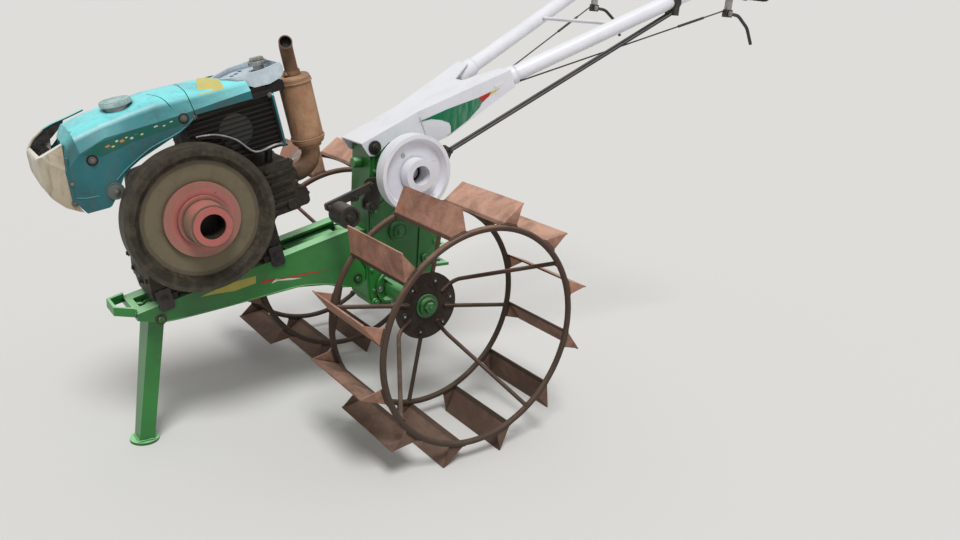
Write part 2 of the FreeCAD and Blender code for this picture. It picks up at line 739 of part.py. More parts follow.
def drum():
    seat = fly_out_y - 14
    flange = across(0, 0, drum_flange_r, seat, seat + 12)
    step = across(0, 0, drum_r + 10, seat + 11, seat + 24)
    barrel = across(0, 0, drum_r, seat + 23, drum_out_y - 8)
    ring = across(0, 0, drum_r - 6, drum_out_y - 9, drum_out_y)
    bore = across(0, 0, drum_bore_r, drum_out_y - drum_bore_depth, drum_out_y + 1)
    return on_engine(joined([flange, step, barrel, ring]).cut(bore))


# Belt pulley on the gearbox input shaft, flat rimmed with a dished face
def belt_pulley():
    rim = across(pulley_x, pulley_z, pulley_r, pulley_in_y, pulley_out_y)
    dish = Part.makeCone(pulley_r - 12, pulley_r - 24, 20, V(pulley_x, pulley_out_y, pulley_z), V(0, -1, 0))
    hub = across(pulley_x, pulley_z, pulley_hub_r, pulley_in_y, pulley_hub_y)
    mouth = across(pulley_x, pulley_z, pulley_bore_r, pulley_hub_y - 58, pulley_hub_y + 1)
    shaft = across(pulley_x, pulley_z, shaft_r, gear_half + 30, pulley_in_y + 5)
    return joined([rim.cut(dish), hub, shaft]).cut(mouth)


# Tension roller on its arm, with the arm's post and a small spool on the gearbox
def tension_arm():
    link_out_y = link_in_y + link_t
    spindle = across(roller_x, roller_z, spindle_r, link_in_y, roller_out_y + 5)
    link = table_plate([(98, 723, 8), (104, 746, 8), (roller_x + 14, roller_z + 10, 8),
                        (roller_x + 8, roller_z - 14, 8)], link_in_y, link_out_y)
    post = across(107, 732, 9, gear_half - 1, link_out_y + 6)
    foot = table_plate([(66, 652, 8), (126, 652, 10), (126, 684, 10), (118, 700, 5), (120, 750, 10),
                        (66, 750, 8)], gear_half, gear_half + 9)
    spool = joined([across(112, 667, 8, gear_half + 1, gear_half + 44),
                    across(112, 667, 12, gear_half + 30, gear_half + 44)])
    return joined([spindle, link, post, foot, spool]).cut(gearbox())


def tension_roller():
    body = across(roller_x, roller_z, roller_r, roller_in_y, roller_out_y)
    cup = across(roller_x, roller_z, roller_r - 7, roller_out_y - 6, roller_out_y + 1)
    hole = across(roller_x, roller_z, spindle_r + running_fit, roller_in_y - 1, roller_out_y + 1)
    return body.cut([cup, hole])


# Handle: folded bracket, tubes, brace, grips
def tube_point(x):
    slope = math.tan(math.radians(bracket_tilt))
    drop = tube_drop / math.cos(math.radians(bracket_tilt))
    z = bracket_z + (bracket_x - x) * slope - drop
    return (x, tube_y + (tube_x - x) * tube_flare, z)


def bracket():
    half, wide, long, kink = bracket_half, bracket_wide, bracket_long, bracket_kink
    deep = web_depth
    def plan(inset, extra, z0, z1):
        a, b = half - inset, wide - inset
        points = [(extra, -a), (-kink, -a), (-long - extra, -b), (-long - extra, b), (-kink, a), (extra, a)]
        return flat(points, z0, z1)
    shell = plan(0, 0, -deep - 20, 0).cut(plan(bracket_t, 2, -deep - 21, -bracket_t))
    side = [(0, 0, 0), (0, -8, 6), (-8, -48, 16), (-30, -58, 16), (-62, -46, 20), (-92, -38, 20),
            (-150, -0.75 * deep, 20), (-kink, -deep, 20), (-kink - 70, -deep, 30), (-long, -0.5 * deep, 0),
            (-long, 0, 0)]
    notch = flat([(-long - 5, -92), (-430, -22), (-430, 22), (-long - 5, 92)], -60, 5, [0, 16, 16, 0])
    body = on_bracket(shell.common(table_plate(side, -wide - 50, wide + 50)).cut(notch))
    start, run = V(*tube_point(tube_x)), V(*tube_point(bend_drop_x)) - V(*tube_point(tube_x))
    run.normalize()
    sleeve = Part.makeCylinder(tube_d / 2 + 5, sleeve_len, start - run * 12, run)
    hole = Part.makeCylinder(tube_d / 2 + seat_gap, sleeve_len + 10, start, run)
    sleeve = sleeve.cut(hole)
    return joined([body] + both(sleeve)).cut(both(hole))


def handle_tube(side):
    bend = tube_point(bend_drop_x)
    tube = rod([tube_point(tube_x), bend, (tail_x + grip_len, bend[1], bend[2])], tube_d, bend_r)
    return tube if side > 0 else mirrored(tube)


def grip(side):
    bend = tube_point(bend_drop_x)
    pieces = [cyl((tail_x, side * bend[1], bend[2]), (1, 0, 0), grip_r, grip_len)]
    for i in range(5):
        pieces.append(cyl((tail_x + 12 + 24 * i, side * bend[1], bend[2]), (1, 0, 0), grip_r + 1.5, 10))
    pieces.append(cyl((tail_x + grip_len - 8, side * bend[1], bend[2]), (1, 0, 0), grip_r + 6, 8))
    return joined(pieces)


def brace():
    x, y, z = tube_point(brace_x)
    return largest(rod([(x, -y, z), (x, y, z)], brace_d).cut([handle_tube(1), handle_tube(-1)]))


# Clutch arms on the gearbox, rods up to a clamp on the near tube
def clutch_arms():
    def arm_set(offsets):
        pieces = []
        for dy in offsets:
            y = rod_y + dy
            rows = [(-132, 750, 14), (-98, 750, 14), (rod_low_x + 13, rod_low_z + 13, 10),
                    (rod_low_x - 13, rod_low_z + 13, 10)]
            pieces.append(table_plate(rows, y - 3, y + 3))
        last = rod_y + offsets[-1]
        pieces.append(across(-115, 768, 9, gear_half, last + 6))
        pieces.append(across(rod_low_x, rod_low_z, 6, rod_y - 8, last + 8))
        return joined(pieces)
    return Part.makeCompound([arm_set([0, rod_gap]), mirrored(arm_set([0]))])


def control_rods():
    x, y, z = tube_point(clamp_x)
    top = z - tube_d / 2 - 14
    rods = []
    for low_y, high_y in ((rod_y, y - 5), (rod_y + rod_gap, y - 5 + rod_gap)):
        line = rod([(rod_low_x, low_y, rod_low_z), (x, high_y, top)], rod_d)
        rods.append(largest(line.cut(clutch_arms())))
    return Part.makeCompound(rods)


def rod_clamp():
    x, y, z = tube_point(clamp_x)
    run = V(*tube_point(bend_drop_x)) - V(*tube_point(tube_x))
    run.normalize()
    ring = Part.makeCylinder(tube_d / 2 + 5, 24, V(x, y, z) - run * 12, run)
    lug_block = box(x - 12, x + 12, y - 18, y + 24, z - tube_d / 2 - 24, z - 12)
    tube_hole = Part.makeCylinder(tube_d / 2 + seat_gap, 90, V(x, y, z) - run * 45, run)
    return joined([ring, lug_block]).cut([tube_hole, control_rods()])


# Hand levers under the tubes with their brackets and cables
LEVERS = [
    # side, x, drop of the lever below the tube's middle line, cable start
    (1, -1215, 77, V(tube_x, 125, 1031)), (-1, -1100, 88, V(rod_low_x, rod_y, rod_low_z)),
]
lever_half = 13.0


def lever_bracket(side, x, drop):
    bend = tube_point(bend_drop_x)
    y, z = bend[1], bend[2]
    ring = cyl((x - 11, y, z), (1, 0, 0), tube_d / 2 + 4, 22)
    hole = cyl((x - 15, y, z), (1, 0, 0), tube_d / 2 + seat_gap, 30)
    hanger = box(x - 11, x + 11, y - 8, y + 8, z - drop + lever_half, z - tube_d / 2 + 2)
    body = joined([ring, hanger]).cut(hole)
    return body if side > 0 else mirrored(body)


def hand_lever(side, x, drop):
    bend = tube_point(bend_drop_x)
    y, z = bend[1], bend[2] - drop
    head = box(x - 18, x + 16, y - 9, y + 9, z - lever_half, z + lever_half)
    bar = rod([(x - 10, y, z), (x - 66, y, z - 4), (x - 130, y, z - 44), (x - 168, y, z - 100)], 12, 60)
    body = joined([head, bar])
    return body if side > 0 else mirrored(body)


def lever_cable(side, x, drop, start):
    bend = tube_point(bend_drop_x)
    end = V(x + 16, bend[1] - 4, bend[2] - drop + 8)
    run = end - start
    ends = [tuple(start + run * share) for share in (0.0, 1.0, 0.78, 0.9)]
    line = joined([rod(ends[:2], 5), rod(ends[2:], 9)])
    cable = largest(line.cut([bracket(), handle_tube(1), clutch_arms(), hand_lever(1, x, drop)]))
    return cable if side > 0 else mirrored(cable)


# Drawbar clevis behind the gearbox
def hitch():
    z = hitch_z
    x1 = gear_rear_x
    plates = [box(x1 - hitch_len, x1, -34, 34, z + s, z + s + 10) for s in (-35, 25)]
    back = box(x1 - 10, x1, -34, 34, z - 50, z + 50)
    bore = cyl((x1 - hitch_len + 25, 0, z - 60), (0, 0, 1), hitch_pin_d / 2, 120)
    return joined(plates + [back]).cut(bore)


shift = V(-(nose_x + tail_x) / 2, 0, 0)
nodes = {
    "left_cage": cage(),
    "right_cage": mirrored(cage()),
    "left_axle": axle(),
    "right_axle": mirrored(axle()),
    "gearbox": gearbox(),
    "left_axle_housing": axle_housing(),
    "right_axle_housing": mirrored(axle_housing()),
    "chassis": chassis(),
    "bumper": bumper(),
    "stand": stand(),
    "hitch": hitch(),
    "engine_block": engine_block(),
    "engine_clamps": engine_clamps(),
    "cylinder_head": cylinder_head(),
    "fuel_tank": fuel_tank(),
    "rear_hood": rear_hood(),
    "fuel_cap": fuel_cap(),
    "lamp_cover": lamp_cover(),
    "lamp": lamp(),
    "radiator": radiator(),
    "radiator_tray": radiator_tray(),
    "radiator_cap": radiator_cap(),
    "stay_rod": stay_rod(),
    "muffler": muffler(),
    "tail_pipe": tail_pipe(),
    "exhaust_elbow": elbow(),
    "air_cleaner": air_cleaner(),
    "flywheel": flywheel(),
    "belt_drum": drum(),
    "belt_pulley": belt_pulley(),
    "tension_arm": tension_arm(),
    "tension_roller": tension_roller(),
    "handle_bracket": bracket(),
    "left_handle": handle_tube(1),
    "right_handle": handle_tube(-1),
    "left_grip": grip(1),
    "right_grip": grip(-1),
    "handle_brace": brace(),
    "clutch_arms": clutch_arms(),
    "control_rods": control_rods(),
    "rod_clamp": rod_clamp(),
    "lever_brackets": Part.makeCompound([lever_bracket(s, x, drop) for s, x, drop, start in LEVERS]),
    "hand_levers": Part.makeCompound([hand_lever(s, x, drop) for s, x, drop, start in LEVERS]),
    "lever_cables": Part.makeCompound([lever_cable(*row) for row in LEVERS]),
}
for name, shape in nodes.items():
    placed = shape.copy()
    placed.translate(shift)
    placed.exportStep("parts/" + name + ".step")
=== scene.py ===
"""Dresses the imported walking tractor: finishes, fasteners, decals, small fittings, light and camera.

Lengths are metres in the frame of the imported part: X forward to the nose, Y to the pulley side, Z up.
Sizes of small fittings are given in millimetres.
"""

import json
import logging
import math
from abc import ABC, abstractmethod
from collections.abc import Iterable, Sequence
from dataclasses import dataclass
from enum import Enum

import bmesh
import bpy
from mathutils import Matrix, Vector
from mathutils.bvhtree import BVHTree

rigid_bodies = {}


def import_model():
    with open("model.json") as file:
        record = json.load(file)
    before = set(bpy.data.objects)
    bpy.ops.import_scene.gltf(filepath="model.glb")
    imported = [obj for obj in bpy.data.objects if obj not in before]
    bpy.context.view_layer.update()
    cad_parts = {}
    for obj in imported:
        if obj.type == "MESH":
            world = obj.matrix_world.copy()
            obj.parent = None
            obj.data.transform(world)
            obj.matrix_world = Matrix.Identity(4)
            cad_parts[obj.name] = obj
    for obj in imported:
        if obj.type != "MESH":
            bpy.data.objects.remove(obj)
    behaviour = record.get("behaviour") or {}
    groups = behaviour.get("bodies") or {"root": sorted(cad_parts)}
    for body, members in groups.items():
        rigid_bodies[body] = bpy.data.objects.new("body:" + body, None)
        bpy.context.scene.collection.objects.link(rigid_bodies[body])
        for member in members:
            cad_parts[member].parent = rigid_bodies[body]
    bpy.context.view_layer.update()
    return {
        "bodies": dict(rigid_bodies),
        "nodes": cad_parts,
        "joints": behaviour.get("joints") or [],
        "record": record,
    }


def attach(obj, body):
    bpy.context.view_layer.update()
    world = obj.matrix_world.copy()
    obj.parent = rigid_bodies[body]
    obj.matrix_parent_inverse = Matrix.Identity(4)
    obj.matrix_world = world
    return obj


LOG = logging.getLogger("walking_tractor")
MM = 0.001

# Main places of the part
AXLE = Vector((0.210, 0.0, 0.385018))
CRANK = Vector((0.852, 0.0, 0.685))
PULLEY = Vector((0.231, 0.0, 0.786))
ENGINE_TILT = math.radians(15.5)
BRACKET_NOSE = Vector((0.343, 0.0, 0.856))
BRACKET_TILT = math.radians(26.2)
NEAR = Vector((0.0, 1.0, 0.0))
UP = Vector((0.0, 0.0, 1.0))
AHEAD = Vector((1.0, 0.0, 0.0))

# Sockets of a Mix node that mixes colours
MIX_SHARE = 0
MIX_FIRST = 6
MIX_SECOND = 7
MIX_RESULT = 2

# How pieces are finished: the bends that a bevel takes, the bends that stay sharp, and what merges
BEVEL_BEND = 0.7
SHARP_BEND = math.radians(35)
MERGE_GAP = 1e-6

# Weld beads: how far their blobs swell, how fast that changes, and the pitch of round ones in radii
BEAD_SWELL = 0.16
BEAD_BEAT = 7.3
ROUND_PITCH = 8.0

Colour = tuple[float, float, float]
Outline = tuple[tuple[float, float], ...]
Places = tuple[tuple[float, float, float], ...]


class Body(Enum):
    """Bodies of the part that a piece can ride on."""

    FRAME = "frame"
    LEFT_WHEEL = "left_wheel"
    RIGHT_WHEEL = "right_wheel"
    CRANK = "crank"
    PULLEY = "input_pulley"
    STAND = "stand_leg"


class Slot(Enum):
    """Material slots of the part's record."""

    GREEN = "green_paint"
    WHITE = "white_paint"
    BLUE = "blue_paint"
    CREAM = "cream_paint"
    RED = "red_paint"
    BLACK = "black_steel"
    CAGE = "rusty_steel"
    PIPE = "tan_rust"
    ENGINE = "engine_iron"
    FLYWHEEL = "flywheel_iron"
    RADIATOR = "radiator_black"
    ALLOY = "grey_metal"
    BRIGHT = "bright_steel"
    LAMP = "lamp_grey"
    TRAY = "grey_plastic"
    RUBBER = "grip_rubber"


class Side(Enum):
    """The two sides of the tractor, as the sign of Y."""

    NEAR = 1
    FAR = -1

    @property
    def way(self) -> Vector:
        """The direction out of this side."""
        return NEAR * self.value

    @property
    def tag(self) -> str:
        """The side's name as it ends a piece's name."""
        return self.name.lower()


def srgb(red: int, green: int, blue: int) -> Colour:
    """Turns a colour of 0 to 255 steps into the linear values that a shader takes."""
    def linear(step: int) -> float:
        """Gives the linear value of one step."""
        share = step / 255
        return share / 12.92 if share <= 0.04045 else ((share + 0.055) / 1.055) ** 2.4
    return linear(red), linear(green), linear(blue)


def at(ahead: float, side: float, up: float) -> Vector:
    """Gives a point of the part's frame from millimetres ahead of the wheel axle, to the side and up."""
    return Vector((AXLE.x + ahead * MM, side * MM, up * MM))


def on_engine(forward: float, side: float, up: float) -> Vector:
    """Gives the place of a point on the tilted engine.

    Args:
        forward: distance along the engine from the crankshaft, in millimetres.
        side: distance towards the pulley side, in millimetres.
        up: height square to the engine's base over the crankshaft, in millimetres.

    Returns:
        The point in the part's frame, in metres.
    """
    return CRANK + engine_way(forward, side, up) * MM


def engine_way(forward: float, side: float, up: float) -> Vector:
    """Turns a direction on the engine into the part's frame."""
    return Matrix.Rotation(ENGINE_TILT, 3, "Y") @ Vector((forward, side, up))


ENGINE_UP = engine_way(0, 0, 1)
ENGINE_DOWN = engine_way(0, 0, -1)
ENGINE_AHEAD = engine_way(1, 0, 0)
ENGINE_BACK = engine_way(-1, 0, 0)


def on_bracket(back: float, side: float, up: float) -> Vector:
    """Gives the place of a point on the tilted handle bracket.

    Args:
        back: distance back along the bracket from its nose, in millimetres.
        side: distance towards the pulley side, in millimetres.
        up: height square to the bracket's top, in millimetres.

    Returns:
        The point in the part's frame, in metres.
    """
    turned = Matrix.Rotation(BRACKET_TILT, 3, "Y") @ Vector((-back, 0.0, up))
    return BRACKET_NOSE + Vector((turned.x, side, turned.z)) * MM


def round_place(middle: Vector, radius: float, degrees: float, side: float) -> Vector:
    """Gives a point on a circle square to Y.

    Args:
        middle: the circle's middle; its Y isn't used.
        radius: the circle's radius, in millimetres.
        degrees: the angle from straight back, turning up.
        side: the point's Y, in millimetres.

    Returns:
        The point in the part's frame, in metres.
    """
    turn = math.radians(degrees)
    reach = radius * MM
    return Vector((middle.x - reach * math.cos(turn), side * MM, middle.z + reach * math.sin(turn)))


# Shader building blocks
class Graph:
    """Adds nodes to one node tree and joins them by short calls."""

    def __init__(self, tree: bpy.types.NodeTree) -> None:
        """Keeps the tree that the nodes go into."""
        self.tree = tree

    def node(self, kind: str, **values: object) -> bpy.types.Node:
        """Adds a node and sets its properties."""
        made = self.tree.nodes.new(kind)
        for name, value in values.items():
            setattr(made, name, value)
        return made

    def feed(self, socket: bpy.types.NodeSocket, value: object) -> None:
        """Joins a socket to another one, or gives it a plain value."""
        if isinstance(value, bpy.types.NodeSocket):
            self.tree.links.new(value, socket)
        elif isinstance(value, tuple) and len(value) == 3 and socket.type == "RGBA":
            socket.default_value = (*value, 1.0)
        else:
            socket.default_value = value

    def maths(self, kind: str, first: object, second: object = 0.0,
              clamp: bool = False) -> bpy.types.NodeSocket:
        """Adds a Math node and gives its value."""
        made = self.node("ShaderNodeMath", operation=kind, use_clamp=clamp)
        self.feed(made.inputs[0], first)
        self.feed(made.inputs[1], second)
        return made.outputs[0]

    def times(self, first: object, second: object, clamp: bool = False) -> bpy.types.NodeSocket:
        """Multiplies two values."""
        return self.maths("MULTIPLY", first, second, clamp)

    def plus(self, first: object, second: object, clamp: bool = False) -> bpy.types.NodeSocket:
        """Adds two values."""
        return self.maths("ADD", first, second, clamp)

    def minus(self, first: object, second: object, clamp: bool = False) -> bpy.types.NodeSocket:
        """Takes the second value from the first."""
        return self.maths("SUBTRACT", first, second, clamp)

    def mix(self, share: object, first: object, second: object, kind: str = "MIX") -> bpy.types.NodeSocket:
        """Mixes two colours and gives the result."""
        made = self.node("ShaderNodeMix", data_type="RGBA", blend_type=kind)
        self.feed(made.inputs[MIX_SHARE], share)
        self.feed(made.inputs[MIX_FIRST], first)
        self.feed(made.inputs[MIX_SECOND], second)
        return made.outputs[MIX_RESULT]

    def noise(self, place: object, scale: object, detail: float = 6.0, rough: float = 0.6,
              warp: float = 0.0) -> bpy.types.NodeSocket:
        """Adds a noise of a size and gives its value."""
        made = self.node("ShaderNodeTexNoise")
        self.feed(made.inputs["Vector"], place)
        self.feed(made.inputs["Scale"], scale)
        made.inputs["Detail"].default_value = detail
        made.inputs["Roughness"].default_value = rough
        made.inputs["Distortion"].default_value = warp
        return made.outputs["Fac"]

    def ramp(self, share: object, low: object, high: object) -> bpy.types.NodeSocket:
        """Maps a value between two limits smoothly to 0 to 1."""
        made = self.node("ShaderNodeMapRange", interpolation_type="SMOOTHSTEP")
        self.feed(made.inputs["Value"], share)
        self.feed(made.inputs["From Min"], low)
        self.feed(made.inputs["From Max"], high)
        return made.outputs["Result"]

    def place(self, scale: tuple[float, float, float] = (1.0, 1.0, 1.0)) -> bpy.types.NodeSocket:
        """Gives Object coordinates, stretched by a scale."""
        source = self.node("ShaderNodeTexCoord").outputs["Object"]
        if scale == (1.0, 1.0, 1.0):
            return source
        made = self.node("ShaderNodeMapping")
        self.feed(made.inputs["Vector"], source)
        made.inputs["Scale"].default_value = scale
        return made.outputs["Vector"]

    def split(self, source: object) -> bpy.types.Node:
        """Splits a vector into its X, Y and Z."""
        made = self.node("ShaderNodeSeparateXYZ")
        self.feed(made.inputs[0], source)
        return made

    def upward(self) -> bpy.types.NodeSocket:
        """Gives how far a face looks up, from -1 to 1."""
        return self.split(self.node("ShaderNodeNewGeometry").outputs["Normal"]).outputs["Z"]

    def effect(self, group: bpy.types.NodeTree, **values: object) -> bpy.types.Node:
        """Places an effect group with its own values."""
        made = self.node("ShaderNodeGroup")
        made.node_tree = group
        for name, value in values.items():
            self.feed(made.inputs[name.replace("_", " ")], value)
        return made

    def mask(self, group: bpy.types.NodeTree, **values: object) -> bpy.types.NodeSocket:
        """Places an effect group with its own values and gives its mask."""
        return self.effect(group, **values).outputs["Mask"]

    def bump(self, height: object, strength: float, distance: float) -> bpy.types.NodeSocket:
        """Adds a Bump node and gives its normal."""
        made = self.node("ShaderNodeBump")
        made.inputs["Strength"].default_value = strength
        made.inputs["Distance"].default_value = distance
        self.feed(made.inputs["Height"], height)
        return made.outputs["Normal"]


EffectParts = tuple[bpy.types.NodeTree, Graph, bpy.types.Node, bpy.types.Node]


def new_effect(name: str, inputs: dict[str, float], outputs: Sequence[str]) -> EffectParts:
    """Starts an effect group with named number sockets.

    Args:
        name: the group's name.
        inputs: the inputs with the values they start with.
        outputs: the names of the outputs.

    Returns:
        The group, a graph to fill it with, and its input and output nodes.
    """
    tree = bpy.data.node_groups.new(name, "ShaderNodeTree")
    for label, value in inputs.items():
        socket = tree.interface.new_socket(label, in_out="INPUT", socket_type="NodeSocketFloat")
        socket.default_value = value
    for label in outputs:
        tree.interface.new_socket(label, in_out="OUTPUT", socket_type="NodeSocketFloat")
    graph = Graph(tree)
    return tree, graph, graph.node("NodeGroupInput"), graph.node("NodeGroupOutput")


class Effects:
    """The effects that several finishes share, each built once."""

    def __init__(self) -> None:
        """Builds every effect group."""
        self.chips = self._chips()
        self.dust = self._dust()
        self.scratches = self._scratches()
        self.rust = self._rust()
        self.splash = self._splash()
        self.corners = self._occlusion_darkening()
        self.sun = self._sun()
        self.reach = self._reach()
        self.runs = self._runs()
        self.foul = self._foul()
        self.smears = self._smears()

    def _chips(self) -> bpy.types.NodeTree:
        """Builds paint chips: small ragged spots that gather in patches."""
        tree, g, start, end = new_effect("paint_chips", {"Size": 60.0, "Amount": 0.4}, ["Mask"])
        place = g.place()
        patches = g.noise(place, 9.0, 3.0, 0.6)
        spots = g.noise(place, start.outputs["Size"], 8.0, 0.72, 0.4)
        both = g.plus(g.times(patches, 0.55), g.times(spots, 0.6))
        edge = g.minus(0.80, g.times(start.outputs["Amount"], 0.22))
        g.feed(end.inputs["Mask"], g.ramp(both, edge, g.plus(edge, 0.02)))
        return tree

    def _dust(self) -> bpy.types.NodeTree:
        """Builds dust: thick on faces that look up, patchy elsewhere."""
        tree, g, start, end = new_effect("settled_dust", {"Amount": 0.5}, ["Mask"])
        upward = g.ramp(g.upward(), -0.1, 1.0)
        cloud = g.ramp(g.noise(g.place(), 7.0, 8.0, 0.65), 0.35, 0.75)
        grain = g.ramp(g.noise(g.place(), 120.0, 5.0, 0.7), 0.30, 0.75)
        mixed = g.times(g.plus(g.times(upward, 0.7), 0.3), cloud)
        soft = g.times(mixed, g.plus(0.55, g.times(grain, 0.45)))
        g.feed(end.inputs["Mask"], g.times(soft, start.outputs["Amount"], True))
        return tree

    def _scratches(self) -> bpy.types.NodeTree:
        """Builds long thin scratches along the machine."""
        tree, g, start, end = new_effect("scratches", {"Amount": 0.4}, ["Mask"])
        lines = g.noise(g.place((9.0, 260.0, 260.0)), 1.0, 3.0, 0.5)
        patches = g.ramp(g.noise(g.place(), 11.0, 3.0), 0.45, 0.65)
        limit = g.minus(0.78, g.times(start.outputs["Amount"], 0.12))
        thin = g.ramp(lines, limit, g.plus(limit, 0.02))
        g.feed(end.inputs["Mask"], g.times(thin, patches, True))
        return tree

    def _rust(self) -> bpy.types.NodeTree:
        """Builds bare rust: a tone from 0 dark to 1 powdery, its scabs and its pitting."""
        tree, g, start, end = new_effect("bare_rust", {"Size": 18.0}, ["Tone", "Scabs", "Pits"])
        place = g.place()
        broad = g.noise(place, start.outputs["Size"], 9.0, 0.66, 0.6)
        fine = g.noise(place, g.times(start.outputs["Size"], 9.0), 6.0, 0.7)
        blend = g.plus(g.times(broad, 0.75), g.times(fine, 0.25))
        g.feed(end.inputs["Tone"], g.ramp(blend, 0.32, 0.66))
        scabs = g.noise(place, g.times(start.outputs["Size"], 2.4), 8.0, 0.7, 0.3)
        g.feed(end.inputs["Scabs"], g.ramp(scabs, 0.56, 0.66))
        g.feed(end.inputs["Pits"], g.plus(g.times(broad, 0.4), g.times(fine, 0.6)))
        return tree

    def _splash(self) -> bpy.types.NodeTree:
        """Builds mud splashes that thin out with height."""
        tree, g, start, end = new_effect("mud_splash", {"Height": 0.5, "Amount": 0.5}, ["Mask"])
        split = g.split(g.place())
        low = g.minus(1.0, g.maths("DIVIDE", split.outputs["Z"], start.outputs["Height"]), True)
        drops = g.noise(g.place(), 26.0, 9.0, 0.75, 0.3)
        limit = g.minus(0.78, g.times(g.times(low, start.outputs["Amount"]), 0.5))
        g.feed(end.inputs["Mask"], g.ramp(drops, limit, g.plus(limit, 0.08)))
        return tree

    def _occlusion_darkening(self) -> bpy.types.NodeTree:
        """Builds the darkening in corners and round fittings from ambient occlusion: painted shade, in a
        grime tone.
        """
        tree, g, start, end = new_effect("corner_shade_and_dirt", {"Reach": 0.02, "Amount": 0.6}, ["Mask"])
        shade = g.node("ShaderNodeAmbientOcclusion", samples=4)
        g.feed(shade.inputs["Distance"], start.outputs["Reach"])
        shut = g.minus(1.0, shade.outputs["AO"])
        ragged = g.times(shut, g.plus(0.55, g.noise(g.place(), 55.0, 6.0, 0.7)))
        g.feed(end.inputs["Mask"], g.times(g.ramp(ragged, 0.12, 0.65), start.outputs["Amount"], True))
        return tree

    def _sun(self) -> bpy.types.NodeTree:
        """Builds a painted highlight: a mask of faces that look up, as if lit by the sun, broken up by cloudy
        noise.
        """
        tree, g, start, end = new_effect("painted_sun_highlight", {"Low": 0.25, "High": 0.85}, ["Mask"])
        cloud = g.times(g.minus(g.noise(g.place(), 5.0, 5.0, 0.6), 0.5), 0.35)
        upward = g.plus(g.upward(), cloud)
        g.feed(end.inputs["Mask"], g.ramp(upward, start.outputs["Low"], start.outputs["High"]))
        return tree

    def _reach(self) -> bpy.types.NodeTree:
        """Builds the distance from a crosswise shaft, with a ragged edge."""
        inputs = {"Shaft X": 0.0, "Shaft Z": 0.0, "Ragged": 0.004}
        tree, g, start, end = new_effect("shaft_distance", inputs, ["Distance"])
        split = g.split(g.place())
        ahead = g.minus(split.outputs["X"], start.outputs["Shaft X"])
        above = g.minus(split.outputs["Z"], start.outputs["Shaft Z"])
        square = g.plus(g.times(ahead, ahead), g.times(above, above))
        wave = g.times(g.minus(g.noise(g.place(), 40.0, 4.0), 0.5), start.outputs["Ragged"])
        g.feed(end.inputs["Distance"], g.plus(g.maths("SQRT", square), wave))
        return tree

    def _runs(self) -> bpy.types.NodeTree:
        """Builds the marks of water that has run down."""
        tree, g, start, end = new_effect("run_marks", {"Amount": 0.4}, ["Mask"])
        fine = g.ramp(g.noise(g.place((46.0, 46.0, 3.5)), 1.0, 5.0, 0.6), 0.5, 0.72)
        broad = g.ramp(g.noise(g.place((14.0, 14.0, 2.5)), 1.0, 4.0, 0.6), 0.45, 0.7)
        both = g.plus(g.times(fine, 0.6), g.times(broad, 0.4))
        g.feed(end.inputs["Mask"], g.times(both, start.outputs["Amount"], True))
        return tree

    def _foul(self) -> bpy.types.NodeTree:
        """Builds a mask of the low part of a piece, for a darker tone there, with a ragged upper edge."""
        tree, g, start, end = new_effect("foul_below", {"Low": 0.0, "High": 0.5}, ["Mask"])
        split = g.split(g.place())
        span = g.minus(start.outputs["High"], start.outputs["Low"])
        wave = g.times(g.minus(g.noise(g.place(), 16.0, 8.0, 0.7), 0.5), span)
        height = g.plus(split.outputs["Z"], g.times(wave, 1.3))
        clean = g.ramp(height, start.outputs["Low"], start.outputs["High"])
        g.feed(end.inputs["Mask"], g.minus(1.0, clean, True))
        return tree

    def _smears(self) -> bpy.types.NodeTree:
        """Builds oily hand and soil smears: cloudy patches that break up into grain."""
        tree, g, start, end = new_effect("oily_smears", {"Amount": 0.2}, ["Mask"])
        cloud = g.ramp(g.noise(g.place((7.0, 12.0, 11.0)), 1.0, 9.0, 0.68, 0.8), 0.44, 0.68)
        grain = g.ramp(g.noise(g.place(), 95.0, 6.0, 0.72), 0.36, 0.66)
        both = g.times(cloud, g.plus(0.4, g.times(grain, 0.6)))
        g.feed(end.inputs["Mask"], g.times(both, start.outputs["Amount"], True))
        return tree


def new_material(name: str) -> tuple[bpy.types.Material, Graph, bpy.types.Node]:
    """Makes an empty material with its shader joined to the output.

    Returns:
        The material, a graph to fill it with, and its Principled shader.
    """
    made = bpy.data.materials.new(name)
    made.use_nodes = True
    made.node_tree.nodes.clear()
    graph = Graph(made.node_tree)
    shader = graph.node("ShaderNodeBsdfPrincipled")
    end = graph.node("ShaderNodeOutputMaterial")
    graph.feed(end.inputs["Surface"], shader.outputs["BSDF"])
    return made, graph, shader


DUST_TONE = srgb(168, 150, 126)
MUD_TONE = srgb(112, 88, 66)
# A dark grime tone: oil stains on metal, and painted shade in corners.
GRIME_AND_SHADE_TONE = srgb(30, 26, 22)
CHIP_TONE = srgb(92, 58, 40)
RUN_TONE = srgb(104, 76, 50)
SMEAR_TONE = srgb(52, 50, 42)
ORANGE_TONE = srgb(184, 108, 66)


@dataclass(frozen=True)
class Rings:
    """Colours that change with the distance from a crosswise shaft."""

    shaft: Vector
    rows: tuple[tuple[float, Colour], ...]
    ragged: float = 0.006
    blend: float = 0.002

    def colour(self, g: Graph, effects: Effects) -> bpy.types.NodeSocket:
        """Gives the colour; each row holds from its distance outwards, in metres."""
        reach = g.effect(effects.reach, Shaft_X=self.shaft.x, Shaft_Z=self.shaft.z, Ragged=self.ragged)
        tint: object = self.rows[0][1]
        for start, colour in self.rows[1:]:
            share = g.ramp(reach.outputs["Distance"], start - self.blend, start + self.blend)
            tint = g.mix(share, tint, colour)
        return tint


@dataclass(frozen=True)
class Finish(ABC):
    """A look that one slot or one decal takes."""

    name: str

    @abstractmethod
    def build(self, effects: Effects) -> bpy.types.Material:
        """Builds the material."""


